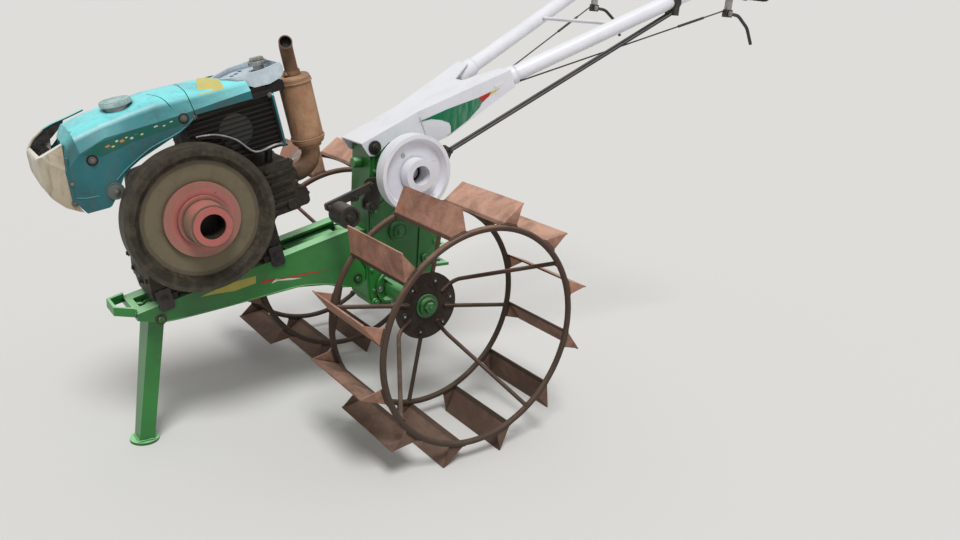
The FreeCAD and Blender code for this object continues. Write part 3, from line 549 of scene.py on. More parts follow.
@dataclass(frozen=True)
class Paint(Finish):
    """Old gloss paint, painted lighter on faces that look up (painted highlight), that chips to rust, and
    takes dust, mud, run marks, and painted corner shade in a grime tone.
    """

    colour: Colour
    # the colour that faces looking up take: painted highlight
    sunlit: Colour
    shade: Colour
    under: Colour = CHIP_TONE
    rings: Rings | None = None
    gloss_roughness: float = 0.34
    chips: float = 0.35
    dust: float = 0.3
    mud: float = 0.3
    # how far corners darken by ambient occlusion: painted shade
    corner_grime_and_shade: float = 0.75
    scratches: float = 0.4
    runs: float = 0.2
    smears: float = 0.2

    def build(self, effects: Effects) -> bpy.types.Material:
        """Builds the paint's material."""
        made, g, shader = new_material(self.name)
        cloud = g.ramp(g.noise(g.place(), 4.0, 5.0, 0.6), 0.35, 0.72)
        tint = self.rings.colour(g, effects) if self.rings else g.mix(cloud, self.colour, self.shade)
        # Faces that look up take the lit colour: painted highlight.
        sun = g.mask(effects.sun)
        tint = g.mix(sun, tint, self.sunlit)
        runs = g.mask(effects.runs, Amount=self.runs)
        tint = g.mix(g.times(runs, g.minus(1.0, sun, True)), tint, RUN_TONE)
        chips = g.mask(effects.chips, Size=70.0, Amount=self.chips)
        lines = g.mask(effects.scratches, Amount=self.scratches)
        worn = g.maths("MAXIMUM", chips, g.times(lines, 0.6), True)
        tint = g.mix(worn, tint, self.under)
        tint = g.mix(g.mask(effects.smears, Amount=self.smears), tint, SMEAR_TONE)
        # Corners darken by ambient occlusion: painted shade in a grime tone.
        corner = g.mask(effects.corners, Reach=0.014, Amount=self.corner_grime_and_shade)
        tint = g.mix(corner, tint, GRIME_AND_SHADE_TONE)
        dust = g.mask(effects.dust, Amount=self.dust)
        tint = g.mix(dust, tint, DUST_TONE)
        mud = g.mask(effects.splash, Height=0.60, Amount=self.mud)
        tint = g.mix(mud, tint, MUD_TONE)
        g.feed(shader.inputs["Base Color"], tint)
        rough = g.plus(self.gloss_roughness, g.times(dust, 0.45))
        rough = g.plus(rough, g.times(g.maths("MAXIMUM", worn, mud), 0.4), True)
        g.feed(shader.inputs["Roughness"], rough)
        peel = g.noise(g.place(), 240.0, 2.0, 0.5)
        height = g.minus(g.times(peel, 0.08), g.times(worn, 0.5))
        height = g.plus(height, g.times(mud, 0.6))
        g.feed(shader.inputs["Normal"], g.bump(height, 0.25, 0.001))
        return made


@dataclass(frozen=True)
class Rust(Finish):
    """Bare rusted steel with dark and powdery tones, orange scabs, upper faces painted lighter as if sunlit
    (painted highlight), dust, mud, and a darker foul tone below a height.

    The foul tone lies below the heights of foul and above those of burnt, in metres: soot on the exhaust, and
    a darker tone towards the bottom of the cage wheel; no piece is as high as the burnt heights that it
    starts with.
    """

    dark: Colour
    pale: Colour
    sunlit_dry: Colour
    foul: tuple[float, float]
    foul_tone: Colour
    burnt: tuple[float, float] = (9.0, 10.0)
    rings: Rings | None = None
    size: float = 14.0
    contrast: float = 0.5
    scabs: float = 0.5
    dust: float = 0.25
    mud: float = 0.35
    runs: float = 0.0
    depth: float = 0.5
    open_blend: float = 0.004

    def build(self, effects: Effects) -> bpy.types.Material:
        """Builds the rust's material."""
        made, g, shader = new_material(self.name)
        rust = g.effect(effects.rust, Size=self.size)
        tone = rust.outputs["Tone"]
        base = self.rings.colour(g, effects) if self.rings else self.pale
        deep = g.mix(self.contrast, base, self.dark)
        tint = g.mix(tone, deep, base)
        scabs = g.times(rust.outputs["Scabs"], self.scabs)
        open_face: object = 1.0
        if self.rings:
            start = self.rings.rows[-1][0]
            shaft = self.rings.shaft
            reach = g.effect(effects.reach, Shaft_X=shaft.x, Shaft_Z=shaft.z, Ragged=0.0)
            low, high = start - self.open_blend, start + self.open_blend
            open_face = g.ramp(reach.outputs["Distance"], low, high)
        tint = g.mix(g.times(scabs, open_face), tint, ORANGE_TONE)
        # Faces that look up are painted lighter, as if sunlit: painted highlight, mixed with the rust's
        # powdery tone; faces past the last ring take it fully, the rest in part.
        sun = g.mask(effects.sun)
        bare = g.times(sun, g.maths("MAXIMUM", open_face, 0.45))
        sunlit_dry = g.times(bare, g.plus(0.25, g.times(tone, 0.5)), True)
        tint = g.mix(sunlit_dry, tint, self.sunlit_dry)
        foul = g.mask(effects.foul, Low=self.foul[0], High=self.foul[1])
        tint = g.mix(g.times(foul, 0.8), tint, self.foul_tone)
        plain = g.mask(effects.foul, Low=self.burnt[0], High=self.burnt[1])
        tint = g.mix(g.times(g.minus(1.0, plain), 0.7), tint, self.foul_tone)
        runs = g.mask(effects.runs, Amount=self.runs)
        tint = g.mix(runs, tint, CHIP_TONE)
        # Corners darken by ambient occlusion: painted shade in a grime tone.
        corner = g.mask(effects.corners, Reach=0.012, Amount=0.75)
        tint = g.mix(corner, tint, GRIME_AND_SHADE_TONE)
        dust = g.mask(effects.dust, Amount=self.dust)
        tint = g.mix(dust, tint, DUST_TONE)
        mud = g.mask(effects.splash, Height=0.45, Amount=self.mud)
        tint = g.mix(mud, tint, MUD_TONE)
        g.feed(shader.inputs["Base Color"], tint)
        g.feed(shader.inputs["Roughness"], g.plus(0.58, g.times(tone, 0.25), True))
        shader.inputs["Specular IOR Level"].default_value = 0.2
        pits = g.plus(rust.outputs["Pits"], g.times(mud, 0.5))
        g.feed(shader.inputs["Normal"], g.bump(pits, self.depth, 0.0015))
        return made


@dataclass(frozen=True)
class Metal(Finish):
    """Bare or thinly coated metal or plastic with oil, dust and scuffs."""

    colour: Colour
    worn: Colour
    rings: Rings | None = None
    roughness: float = 0.45
    metallic: float = 0.7
    oil: float = 0.4
    dust: float = 0.3
    specular: float = 0.25

    def build(self, effects: Effects) -> bpy.types.Material:
        """Builds the metal's material."""
        made, g, shader = new_material(self.name)
        wear = g.ramp(g.noise(g.place(), 32.0, 7.0, 0.68), 0.42, 0.66)
        tint = g.mix(wear, self.colour, self.worn)
        if self.rings:
            tint = g.mix(g.times(wear, 0.35), self.rings.colour(g, effects), self.worn)
        stain = g.ramp(g.noise(g.place(), 8.0, 5.0, 0.6), 0.5, 0.72)
        tint = g.mix(g.times(stain, self.oil), tint, GRIME_AND_SHADE_TONE)
        # Corners darken by ambient occlusion: painted shade in a grime tone.
        corner = g.mask(effects.corners, Reach=0.014, Amount=0.7)
        tint = g.mix(corner, tint, GRIME_AND_SHADE_TONE)
        dust = g.mask(effects.dust, Amount=self.dust)
        tint = g.mix(dust, tint, DUST_TONE)
        g.feed(shader.inputs["Base Color"], tint)
        shader.inputs["Metallic"].default_value = self.metallic
        shader.inputs["Specular IOR Level"].default_value = self.specular
        rough = g.plus(self.roughness, g.times(g.plus(dust, wear), 0.25), True)
        g.feed(shader.inputs["Roughness"], rough)
        g.feed(shader.inputs["Normal"], g.bump(g.noise(g.place(), 150.0, 4.0, 0.6), 0.2, 0.0008))
        return made


@dataclass(frozen=True)
class Decal(Finish):
    """A thin flat layer, such as print, soot or glass, scuffed through to what lies under it."""

    colour: Colour
    under: Colour
    wear: float = 0.5

    def build(self, effects: Effects) -> bpy.types.Material:
        """Builds the film's material."""
        made, g, shader = new_material(self.name)
        chips = g.mask(effects.chips, Size=90.0, Amount=self.wear)
        runs = g.mask(effects.runs, Amount=0.35)
        tint = g.mix(runs, g.mix(chips, self.colour, self.under), self.under)
        dust = g.mask(effects.dust, Amount=0.3)
        g.feed(shader.inputs["Base Color"], g.mix(dust, tint, DUST_TONE))
        g.feed(shader.inputs["Roughness"], g.plus(0.4, g.times(chips, 0.3)))
        shader.inputs["Specular IOR Level"].default_value = 0.2
        return made


CAGE_RINGS = Rings(AXLE, (
    (0.0, srgb(24, 22, 21)), (0.112, srgb(76, 60, 51)), (0.336, srgb(184, 138, 118))), 0.002)
FLYWHEEL_RINGS = Rings(CRANK, (
    (0.0, srgb(112, 103, 82)), (0.145, srgb(92, 84, 68)), (0.156, srgb(46, 43, 35)),
    (0.186, srgb(62, 57, 49))), 0.008)
DRUM_RINGS = Rings(CRANK, (
    (0.0, srgb(178, 96, 90)), (0.0505, srgb(136, 110, 92)), (0.062, srgb(174, 102, 96)),
    (0.084, srgb(156, 106, 94))), 0.014)

# Each paint gives its colour, its lit colour for faces that look up (painted highlight), and a second tone
# for random clouds.
FINISHES: dict[Slot, Finish] = {
    Slot.GREEN: Paint("green_paint", srgb(40, 124, 52), srgb(160, 228, 164), srgb(28, 98, 42), chips=0.26,
                      dust=0.12, mud=0.28, runs=0.12),
    Slot.WHITE: Paint("white_paint", srgb(234, 234, 241), srgb(234, 235, 240), srgb(224, 224, 233),
                      chips=0.16, dust=0.08, mud=0.0, corner_grime_and_shade=0.5, runs=0.05, scratches=0.25,
                      gloss_roughness=0.4, smears=0.1),
    Slot.BLUE: Paint("blue_paint", srgb(20, 112, 120), srgb(134, 234, 238), srgb(14, 88, 94), chips=0.28,
                     dust=0.05, mud=0.0, runs=0.3, smears=0.42),
    Slot.CREAM: Paint("cream_paint", srgb(206, 200, 182), srgb(232, 230, 222), srgb(176, 164, 138),
                      chips=0.34, dust=0.12, mud=0.0, runs=0.8, smears=0.3, gloss_roughness=0.5),
    Slot.RED: Paint("red_paint", srgb(170, 94, 90), srgb(186, 112, 104), srgb(150, 86, 80), rings=DRUM_RINGS,
                    chips=0.2, dust=0.3, mud=0.0, gloss_roughness=0.5),
    Slot.BLACK: Paint("black_steel", srgb(26, 25, 26), srgb(58, 55, 53), srgb(20, 20, 20), chips=0.3,
                      dust=0.3, mud=0.15, gloss_roughness=0.42),
    # The cage wheel darkens towards its bottom, below the foul heights.
    Slot.CAGE: Rust("rusty_steel", srgb(64, 46, 38), srgb(150, 104, 84), srgb(222, 178, 156), (0.05, 0.62),
                    srgb(66, 56, 49), rings=CAGE_RINGS, contrast=0.62, scabs=0.75, dust=0.12),
    Slot.PIPE: Rust("tan_rust", srgb(124, 84, 58), srgb(188, 150, 118), srgb(206, 172, 140), (0.775, 0.865),
                    srgb(58, 46, 38), burnt=(1.04, 1.072), size=9.0, contrast=0.62, scabs=0.55, mud=0.0,
                    runs=0.5, depth=0.35),
    Slot.ENGINE: Metal("engine_iron", srgb(34, 32, 30), srgb(60, 55, 50), roughness=0.5, metallic=0.3,
                       oil=0.5, dust=0.35),
    Slot.FLYWHEEL: Metal("flywheel_iron", srgb(84, 75, 62), srgb(110, 100, 84), rings=FLYWHEEL_RINGS,
                         roughness=0.55, metallic=0.1, oil=0.2, dust=0.1),
    Slot.RADIATOR: Metal("radiator_black", srgb(27, 27, 24), srgb(42, 40, 34), roughness=0.7, metallic=0.0,
                         oil=0.4, dust=0.06),
    Slot.ALLOY: Metal("grey_metal", srgb(150, 150, 150), srgb(190, 188, 184), roughness=0.4, metallic=0.6,
                      oil=0.3, dust=0.15),
    Slot.BRIGHT: Metal("bright_steel", srgb(168, 168, 164), srgb(200, 198, 192), roughness=0.3, metallic=0.85,
                       oil=0.25, dust=0.1),
    Slot.LAMP: Metal("lamp_grey", srgb(38, 37, 38), srgb(74, 72, 72), roughness=0.45, metallic=0.1, oil=0.5,
                     dust=0.25),
    Slot.TRAY: Metal("grey_plastic", srgb(190, 204, 214), srgb(208, 220, 228), roughness=0.45, metallic=0.0,
                     oil=0.12, dust=0.12),
    Slot.RUBBER: Metal("grip_rubber", srgb(20, 20, 21), srgb(40, 38, 37), roughness=0.6, metallic=0.0,
                       oil=0.2, dust=0.25),
}

GREEN_FILM = Decal("film_green", srgb(14, 116, 76), srgb(206, 208, 214), 0.1)
RED_FILM = Decal("film_red", srgb(178, 44, 38), srgb(150, 110, 90))
YELLOW_FILM = Decal("film_yellow", srgb(212, 200, 112), srgb(150, 190, 150), 0.3)
OLIVE_FILM = Decal("film_olive", srgb(178, 168, 84), srgb(74, 120, 62), 0.3)
PALE_FILM = Decal("film_pale", srgb(204, 210, 200), srgb(60, 120, 74), 0.3)
ORANGE_FILM = Decal("film_orange", srgb(206, 132, 66), srgb(40, 110, 104), 0.8)
TEAL_FILM = Decal("film_teal", srgb(28, 92, 80), srgb(24, 104, 108), 0.3)
# A black film: soot at the tail pipe's mouth, painted shade in the flywheel's bore and the pulley's hole, and
# the lamp lens, tray marks and pulley ring.
SOOT_AND_SHADE = Decal("soot", srgb(16, 15, 15), srgb(34, 30, 28), 0.3)
GLASS_GREY = Decal("grey_glass", srgb(92, 104, 100), srgb(120, 128, 122), 0.3)
FAN_GREY = Decal("fan_grey", srgb(62, 66, 62), srgb(48, 48, 44), 0.5)
DULL_METAL = Metal("dull_metal", srgb(98, 97, 95), srgb(132, 128, 122), roughness=0.5, metallic=0.4, oil=0.5)
CAP_METAL = Metal("cap_metal", srgb(186, 210, 206), srgb(132, 178, 180), roughness=0.35, metallic=0.2,
                  oil=0.15)
EXTRA_FINISHES: tuple[Finish, ...] = (GREEN_FILM, RED_FILM, YELLOW_FILM, OLIVE_FILM, PALE_FILM, ORANGE_FILM,
                                      TEAL_FILM, SOOT_AND_SHADE, GLASS_GREY, FAN_GREY, CAP_METAL, DULL_METAL)


# Shapes
def smooth_line(points: Sequence[Vector], steps: int) -> list[Vector]:
    """Runs a smooth line through points.

    Args:
        points: the points, from start to end.
        steps: how many stretches lie between two of them.

    Returns:
        The points of the smooth line.
    """
    line = []
    last = len(points) - 1
    for i in range(last):
        before, start = points[max(i - 1, 0)], points[i]
        end, after = points[i + 1], points[min(i + 2, last)]
        for step in range(steps):
            t = step / steps
            line.append(0.5 * (2 * start + (end - before) * t
                               + (2 * before - 5 * start + 4 * end - after) * t * t
                               + (3 * start - before - 3 * end + after) * t * t * t))
    return line + [points[-1].copy()]


class Shape:
    """Gathers simple solids in one mesh before it becomes a piece; sizes are in millimetres."""

    def __init__(self) -> None:
        """Starts an empty mesh."""
        self.mesh = bmesh.new()

    @staticmethod
    def stand(place: Vector, way: Vector) -> Matrix:
        """Gives the matrix that stands a solid at a place with its Z along a direction."""
        return Matrix.Translation(place) @ way.to_track_quat("Z", "Y").to_matrix().to_4x4()

    def drum(self, place: Vector, way: Vector, radius: float, height: float, sides: int = 24,
             soft: float = 0.0, top: float | None = None) -> None:
        """Adds a round or many-sided solid.

        Args:
            place: the middle of its lower end.
            way: the direction that it runs in.
            radius: its radius at the lower end.
            height: its length.
            sides: how many sides it has.
            soft: the width of its bevels.
            top: its radius at the upper end, where that differs.
        """
        way = way.normalized()
        middle = self.stand(place + way * (height * MM / 2), way)
        upper = radius if top is None else top
        made = bmesh.ops.create_cone(self.mesh, cap_ends=True, cap_tris=False, segments=sides,
                                     radius1=radius * MM, radius2=upper * MM, depth=height * MM,
                                     matrix=middle)
        if soft > 0.0:
            self._soften(made["verts"], soft)

    def _soften(self, verts: Iterable[bmesh.types.BMVert], soft: float) -> None:
        """Bevels the sharp edges round some vertices."""
        near = dict.fromkeys(edge for vert in verts for edge in vert.link_edges)
        sharp = [edge for edge in near if edge.calc_face_angle(0.0) > BEVEL_BEND]
        bmesh.ops.bevel(self.mesh, geom=sharp, offset=soft * MM, offset_type="OFFSET", segments=2,
                        profile=0.5, affect="EDGES", material=-1)

    def block(self, place: Vector, along: Vector, across: Vector, size: tuple[float, float, float],
              soft: float = 0.0) -> None:
        """Adds a block.

        Args:
            place: its middle.
            along: the direction of its length.
            across: a direction of its width, square to the length.
            size: its length, width and height.
            soft: the width of its bevels.
        """
        along, across = along.normalized(), across.normalized()
        turn = Matrix((along, across, along.cross(across))).transposed().to_4x4()
        scale = Matrix.Diagonal((*(value * MM for value in size), 1.0))
        made = bmesh.ops.create_cube(self.mesh, size=1.0, matrix=Matrix.Translation(place) @ turn @ scale)
        if soft > 0.0:
            self._soften(made["verts"], soft)

    def bolt(self, place: Vector, way: Vector, size: float, washer: bool = True, stud: bool = True) -> None:
        """Adds a hexagon head on its washer.

        Args:
            place: the point on the face that it sits on.
            way: the direction that it stands out in.
            size: half its width over the corners.
            washer: adds a washer under it.
            stud: lets a thread end stand out of it.
        """
        way = way.normalized()
        low = 0.0
        if washer:
            self.drum(place, way, size * 1.45, size * 0.25, 22, size * 0.07)
            low = size * 0.22
        self.drum(place + way * (low * MM), way, size, size * 0.75, 6, size * 0.09)
        if stud:
            self.drum(place + way * ((low + size * 0.7) * MM), way, size * 0.5, size * 0.4, 14, size * 0.08)

    def ring(self, place: Vector, way: Vector, radius: float, wire: float, sides: int = 8,
             steps: int = 36) -> None:
        """Adds a round wire ring, given its radius and the wire's radius."""
        section = self.stand(place, way) @ Matrix.Translation((radius * MM, 0.0, 0.0)) @ Matrix.Rotation(
            math.pi / 2, 4, "X")
        made = bmesh.ops.create_circle(self.mesh, cap_ends=False, segments=sides, radius=wire * MM,
                                       matrix=section)
        edges = dict.fromkeys(edge for vert in made["verts"] for edge in vert.link_edges)
        bmesh.ops.spin(self.mesh, geom=made["verts"] + list(edges), cent=place, axis=way, angle=math.tau,
                       steps=steps, use_merge=True, use_duplicate=False)

    def collar(self, place: Vector, way: Vector, inner: float, outer: float, height: float,
               steps: int = 40) -> None:
        """Adds a flat ring with square edges from its inner to its outer radius."""
        stand = self.stand(place, way)
        corners = ((inner, 0.0), (outer, 0.0), (outer, height), (inner, height))
        verts = [self.mesh.verts.new(stand @ Vector((r * MM, 0.0, h * MM))) for r, h in corners]
        edges = [self.mesh.edges.new((verts[i], verts[(i + 1) % 4])) for i in range(4)]
        bmesh.ops.spin(self.mesh, geom=verts + edges, cent=place, axis=way, angle=math.tau, steps=steps,
                       use_merge=True, use_duplicate=False)

    def tube(self, points: Sequence[Vector], radius: float, sides: int = 10, steps: int = 5) -> None:
        """Adds a round rod or hose along a smooth line through points."""
        line = smooth_line(points, steps) if len(points) > 2 else list(points)
        last = None
        for i, point in enumerate(line):
            way = line[min(i + 1, len(line) - 1)] - line[max(i - 1, 0)]
            made = bmesh.ops.create_circle(self.mesh, cap_ends=i in (0, len(line) - 1), segments=sides,
                                           radius=radius * MM, matrix=self.stand(point, way))
            rim = list(dict.fromkeys(edge for vert in made["verts"] for edge in vert.link_edges))
            if last is not None:
                bmesh.ops.bridge_loops(self.mesh, edges=last + rim)
            last = rim

    def slab(self, corners: Sequence[Vector], thick: Vector) -> None:
        """Adds a flat plate of any outline."""
        face = self.mesh.faces.new([self.mesh.verts.new(corner) for corner in corners])
        made = bmesh.ops.extrude_face_region(self.mesh, geom=[face])
        moved = [item for item in made["geom"] if isinstance(item, bmesh.types.BMVert)]
        bmesh.ops.translate(self.mesh, verts=moved, vec=thick)

    def bead(self, points: Sequence[Vector], radius: float, pitch: float = 1.1) -> None:
        """Adds a weld bead: overlapping blobs along straight stretches between points."""
        for start, end in zip(points, points[1:]):
            count = max(2, round((end - start).length / (radius * pitch * MM)))
            for i in range(count + 1):
                swell = 1.0 + BEAD_SWELL * math.sin(BEAD_BEAT * i)
                middle = start.lerp(end, i / count)
                bmesh.ops.create_icosphere(self.mesh, subdivisions=1, radius=radius * swell * MM,
                                           matrix=Matrix.Translation(middle))

    def round_bead(self, place: Vector, way: Vector, ring: float, radius: float, count: int) -> None:
        """Adds a weld bead around a shaft, given the ring's radius and the bead's."""
        stand = self.stand(place, way)
        reach = ring * MM
        turns = [math.tau * i / count for i in range(count + 1)]
        line = [stand @ Vector((reach * math.cos(turn), reach * math.sin(turn), 0.0)) for turn in turns]
        self.bead(line, radius, ROUND_PITCH)

    def drape(self, tree: BVHTree, corners: Sequence[Vector], down: Vector, thick: float,
              steps: tuple[int, int] = (8, 8)) -> None:
        """Lays a thin sheet on a curved face.

        Args:
            tree: the search tree of the face.
            corners: four corners that hang over the face, in turn.
            down: the direction in which they drop on it.
            thick: the sheet's thickness.
            steps: how many squares it has each way.
        """
        high, low = thick * MM, 0.05 * MM
        missed = []
        grid = bmesh.ops.create_grid(self.mesh, x_segments=steps[0], y_segments=steps[1], size=0.5)
        for vert in grid["verts"]:
            s, t = vert.co.x + 0.5, vert.co.y + 0.5
            over = corners[0].lerp(corners[1], s).lerp(corners[3].lerp(corners[2], s), t)
            hit, normal, _index, _distance = tree.ray_cast(over, down)
            if hit:
                vert.co = hit + normal * low
            else:
                missed.append(vert)
        bmesh.ops.delete(self.mesh, geom=missed, context="VERTS")
        kept = [vert for vert in grid["verts"] if vert.is_valid]
        faces = list(dict.fromkeys(face for vert in kept for face in vert.link_faces))
        made = bmesh.ops.extrude_face_region(self.mesh, geom=faces)
        moved = [item for item in made["geom"] if isinstance(item, bmesh.types.BMVert)]
        bmesh.ops.translate(self.mesh, verts=moved, vec=-down.normalized() * high)

    def grips(self, middle: Vector, radius: float, count: int, size: tuple[float, float, float]) -> None:
        """Sets small ribs round a cap of the engine.

        Args:
            middle: the cap's middle.
            radius: the radius that the ribs stand on.
            count: how many ribs there are.
            size: the size of a rib.
        """
        for i in range(count):
            turn = math.tau * i / count
            way = engine_way(math.cos(turn), math.sin(turn), 0)
            self.block(middle + way * radius * MM, ENGINE_UP, way, size, 0.5)


class Workshop:
    """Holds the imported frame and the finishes, and turns shapes into pieces."""

    def __init__(self, frame: dict) -> None:
        """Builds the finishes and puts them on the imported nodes."""
        self.frame = frame
        effects = Effects()
        finishes = list(FINISHES.values()) + list(EXTRA_FINISHES)
        self.materials = {finish.name: finish.build(effects) for finish in finishes}
        slots = {row["node"]: row["material_slot"] for row in frame["record"]["subparts"]}
        for name, shown in frame["nodes"].items():
            shown.data.materials.clear()
            shown.data.materials.append(self.materials[slots[name]])

    def piece(self, name: str, body: Body, slot: Slot, shape: Shape,
              look: Finish | None = None) -> bpy.types.Object:
        """Turns gathered solids into a piece that rides on a body.

        Args:
            name: the piece's name.
            body: the body that carries it.
            slot: the record's slot whose finish it takes when no look is given.
            shape: the gathered solids, in place; their mesh is freed.
            look: a finish of its own, if the slot's one isn't used.

        Returns:
            The new object.
        """
        solid = shape.mesh
        bmesh.ops.remove_doubles(solid, verts=solid.verts, dist=MERGE_GAP)
        bmesh.ops.recalc_face_normals(solid, faces=solid.faces)
        mesh = bpy.data.meshes.new(name)
        solid.to_mesh(mesh)
        solid.free()
        for face in mesh.polygons:
            face.use_smooth = True
        mesh.set_sharp_from_angle(angle=SHARP_BEND)
        mesh.materials.append(self.materials[look.name if look else slot.value])
        made = bpy.data.objects.new(name, mesh)
        bpy.context.scene.collection.objects.link(made)
        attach(made, body.value)
        LOG.info("%s: %d faces on %s", name, len(mesh.polygons), body.value)
        return made

    def surface(self, node: str) -> BVHTree:
        """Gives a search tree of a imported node's surface, for pieces that lie on a curved face."""
        mesh = self.frame["nodes"][node].data
        return BVHTree.FromPolygons([vert.co.copy() for vert in mesh.vertices],
                                    [tuple(face.vertices) for face in mesh.polygons])


# Sub-assemblies
@dataclass(frozen=True)
class CageWheel:
    """A cage wheel: bolts on its disc, its welds and the hub ring."""

    side: Side
    body: Body
    axle_up: float = 385.0
    ring_radius: float = 322.0
    ring_wire: float = 9.0
    near_ring: float = 268.0
    far_ring: float = 560.0
    lugs: int = 12
    lug_lean: float = 9.3
    spokes: int = 8
    first_spoke: float = -8.0
    bolt_circle: float = 84.0
    bolts: int = 6
    first_bolt: float = 15.0
    lug_weld_rise: float = 9.5
    spoke_weld: tuple[float, float] = (70.0, 103.0)
    spoke_weld_lean: float = 4.2

    def dress(self, shop: Workshop) -> None:
        """Builds the wheel's fittings."""
        self._fasteners(shop)
        self._welds(shop)

    def _fasteners(self, shop: Workshop) -> None:
        """Bolts the disc to the axle flange and rings the hub cap."""
        out = self.side.value
        bolts, ends = Shape(), Shape()
        for i in range(self.bolts):
            turn = self.first_bolt + 360 * i / self.bolts
            place = round_place(AXLE, self.bolt_circle, turn, out * self.near_ring)
            bolts.bolt(place, self.side.way, 7.5, stud=False)
            ends.drum(place + self.side.way * 7 * MM, self.side.way, 3.2, 3.0, 14, 0.5)
        shop.piece(f"{self.body.value}_bolts", self.body, Slot.BLACK, bolts)
        shop.piece(f"{self.body.value}_bolt_ends", self.body, Slot.BRIGHT, ends)
        hub = Shape()
        hub.collar(at(0, out * self.near_ring, self.axle_up), self.side.way, 29.5, 38.0, 5.0)
        hub.ring(at(0, out * (self.near_ring + 14), self.axle_up), self.side.way, 24.0, 2.0)
        hub.drum(at(0, out * (self.near_ring + 28), self.axle_up), self.side.way, 7.0, 3.0, 16, 0.8)
        shop.piece(f"{self.body.value}_hub_ring", self.body, Slot.GREEN, hub)

    def _welds(self, shop: Workshop) -> None:
        """Lays weld beads where lugs and spokes meet the rings and the disc."""
        out = self.side.value
        welds = Shape()
        step = 360 / self.lugs
        for i in range(self.lugs):
            tip = step * (i + 0.5)
            for ring, face in ((self.near_ring, -1.0), (self.far_ring, 1.0)):
                y = out * (ring + face)
                reach = self.ring_radius + self.lug_weld_rise
                welds.bead([round_place(AXLE, reach, tip + self.lug_lean * part / 3, y)
                            for part in range(4)], 3.2, 1.6)
        for i in range(self.spokes):
            turn = self.first_spoke + 360 * i / self.spokes
            ring = self.near_ring if i % 2 == 0 else self.far_ring
            way = round_place(AXLE, 100, turn, 0) - round_place(AXLE, 0, turn, 0)
            end = round_place(AXLE, self.ring_radius - self.ring_wire, turn, out * ring)
            welds.round_bead(end, way, 6.0, 2.2, 8)
            y = out * (self.near_ring + 1)
            inner, outer = self.spoke_weld
            for lean in (-self.spoke_weld_lean, self.spoke_weld_lean):
                welds.bead([round_place(AXLE, inner, turn + lean * 1.4, y),
                            round_place(AXLE, outer, turn + lean, y)], 2.6, 1.7)
        shop.piece(f"{self.body.value}_welds", self.body, Slot.CAGE, welds)


@dataclass(frozen=True)
class GearCase:
    """The gearbox: cover bolts, plugs, oil filler and the axle housings' flange bolts."""

    half: float = 61.0
    boss: tuple[float, float] = (-10.0, 572.0)
    cover_bolts: Outline = (
        (-74, 346), (-18, 338), (38, 336), (68, 378), (80, 448), (82, 520), (82, 590), (82, 700), (82, 768),
        (82, 822), (34, 842), (-20, 858), (-72, 846), (-106, 356), (-150, 400), (-156, 520), (-156, 625),
        (-154, 760), (-108, 838))
    plugs: Places = (
        (-123, 466, 10), (-128, 690, 8), (40, 470, 7), (-60, 330, 9), (62, 340, 9), (80, 640, 9),
        (-20, 680, 6))
    housing_circle: float = 51.0
    nipple: tuple[float, float] = (214.0, 432.0)
    filler: tuple[float, float, float] = (-52.0, 0.0, 874.0)
    breather: tuple[float, float, float] = (-96.0, 22.0, 862.0)
    drain: tuple[float, float, float] = (-10.0, 0.0, 310.0)

    def dress(self, shop: Workshop) -> None:
        """Builds the gearbox's fittings on both sides."""
        for side in Side:
            y = side.value * self.half
            bolts = Shape()
            for ahead, up in self.cover_bolts:
                bolts.bolt(at(ahead, y, up), side.way, 6.0, stud=False)
            shop.piece(f"gear_cover_bolts_{side.tag}", Body.FRAME, Slot.GREEN, bolts)
            plugs = Shape()
            for ahead, up, out in self.plugs:
                plugs.bolt(at(ahead, y + side.value * out, up), side.way, 8.0, washer=False, stud=False)
            plugs.ring(at(self.boss[0], y + side.value * 10.4, self.boss[1]), side.way, 27.0, 1.5)
            plugs.bolt(at(self.boss[0], y + side.value * 15, self.boss[1]), side.way, 9.0, stud=False)
            shop.piece(f"gear_plugs_{side.tag}", Body.FRAME, Slot.GREEN, plugs)
            self._housing(shop, side)
        self._filler(shop)

    def _housing(self, shop: Workshop, side: Side) -> None:
        """Bolts an axle housing on and gives it a grease nipple."""
        bolts = Shape()
        for turn in range(0, 360, 90):
            place = round_place(AXLE, self.housing_circle, turn, side.value * (self.half + 12))
            bolts.bolt(place, side.way, 7.5)
        shop.piece(f"housing_bolts_{side.tag}", Body.FRAME, Slot.BRIGHT, bolts)
        out, up = self.nipple
        nipple = Shape()
        nipple.drum(at(0, side.value * out, up), UP, 5.0, 5.0, 6, 0.5)
        nipple.drum(at(0, side.value * out, up + 5), UP, 2.6, 8.0, 12, 0.6)
        shop.piece(f"grease_nipple_{side.tag}", Body.FRAME, Slot.BRIGHT, nipple)

    def _filler(self, shop: Workshop) -> None:
        """Puts the oil filler and the breather on top and the drain plug below."""
        oil = Shape()
        ahead, side, up = self.filler
        oil.drum(at(ahead, side, up), UP, 17.0, 9.0, 28, 1.0)
        oil.drum(at(ahead, side, up + 9), UP, 13.0, 11.0, 6, 1.4)
        ahead, side, up = self.breather
        oil.drum(at(ahead, side, up), UP, 6.0, 12.0, 16, 1.0)
        oil.drum(at(ahead, side, up + 12), UP, 10.0, 9.0, 20, 2.0)
        shop.piece("gear_oil_filler", Body.FRAME, Slot.BLACK, oil)
        drain = Shape()
        drain.bolt(at(*self.drain), -UP, 11.0, stud=False)
        shop.piece("gear_drain_plug", Body.FRAME, Slot.BRIGHT, drain)


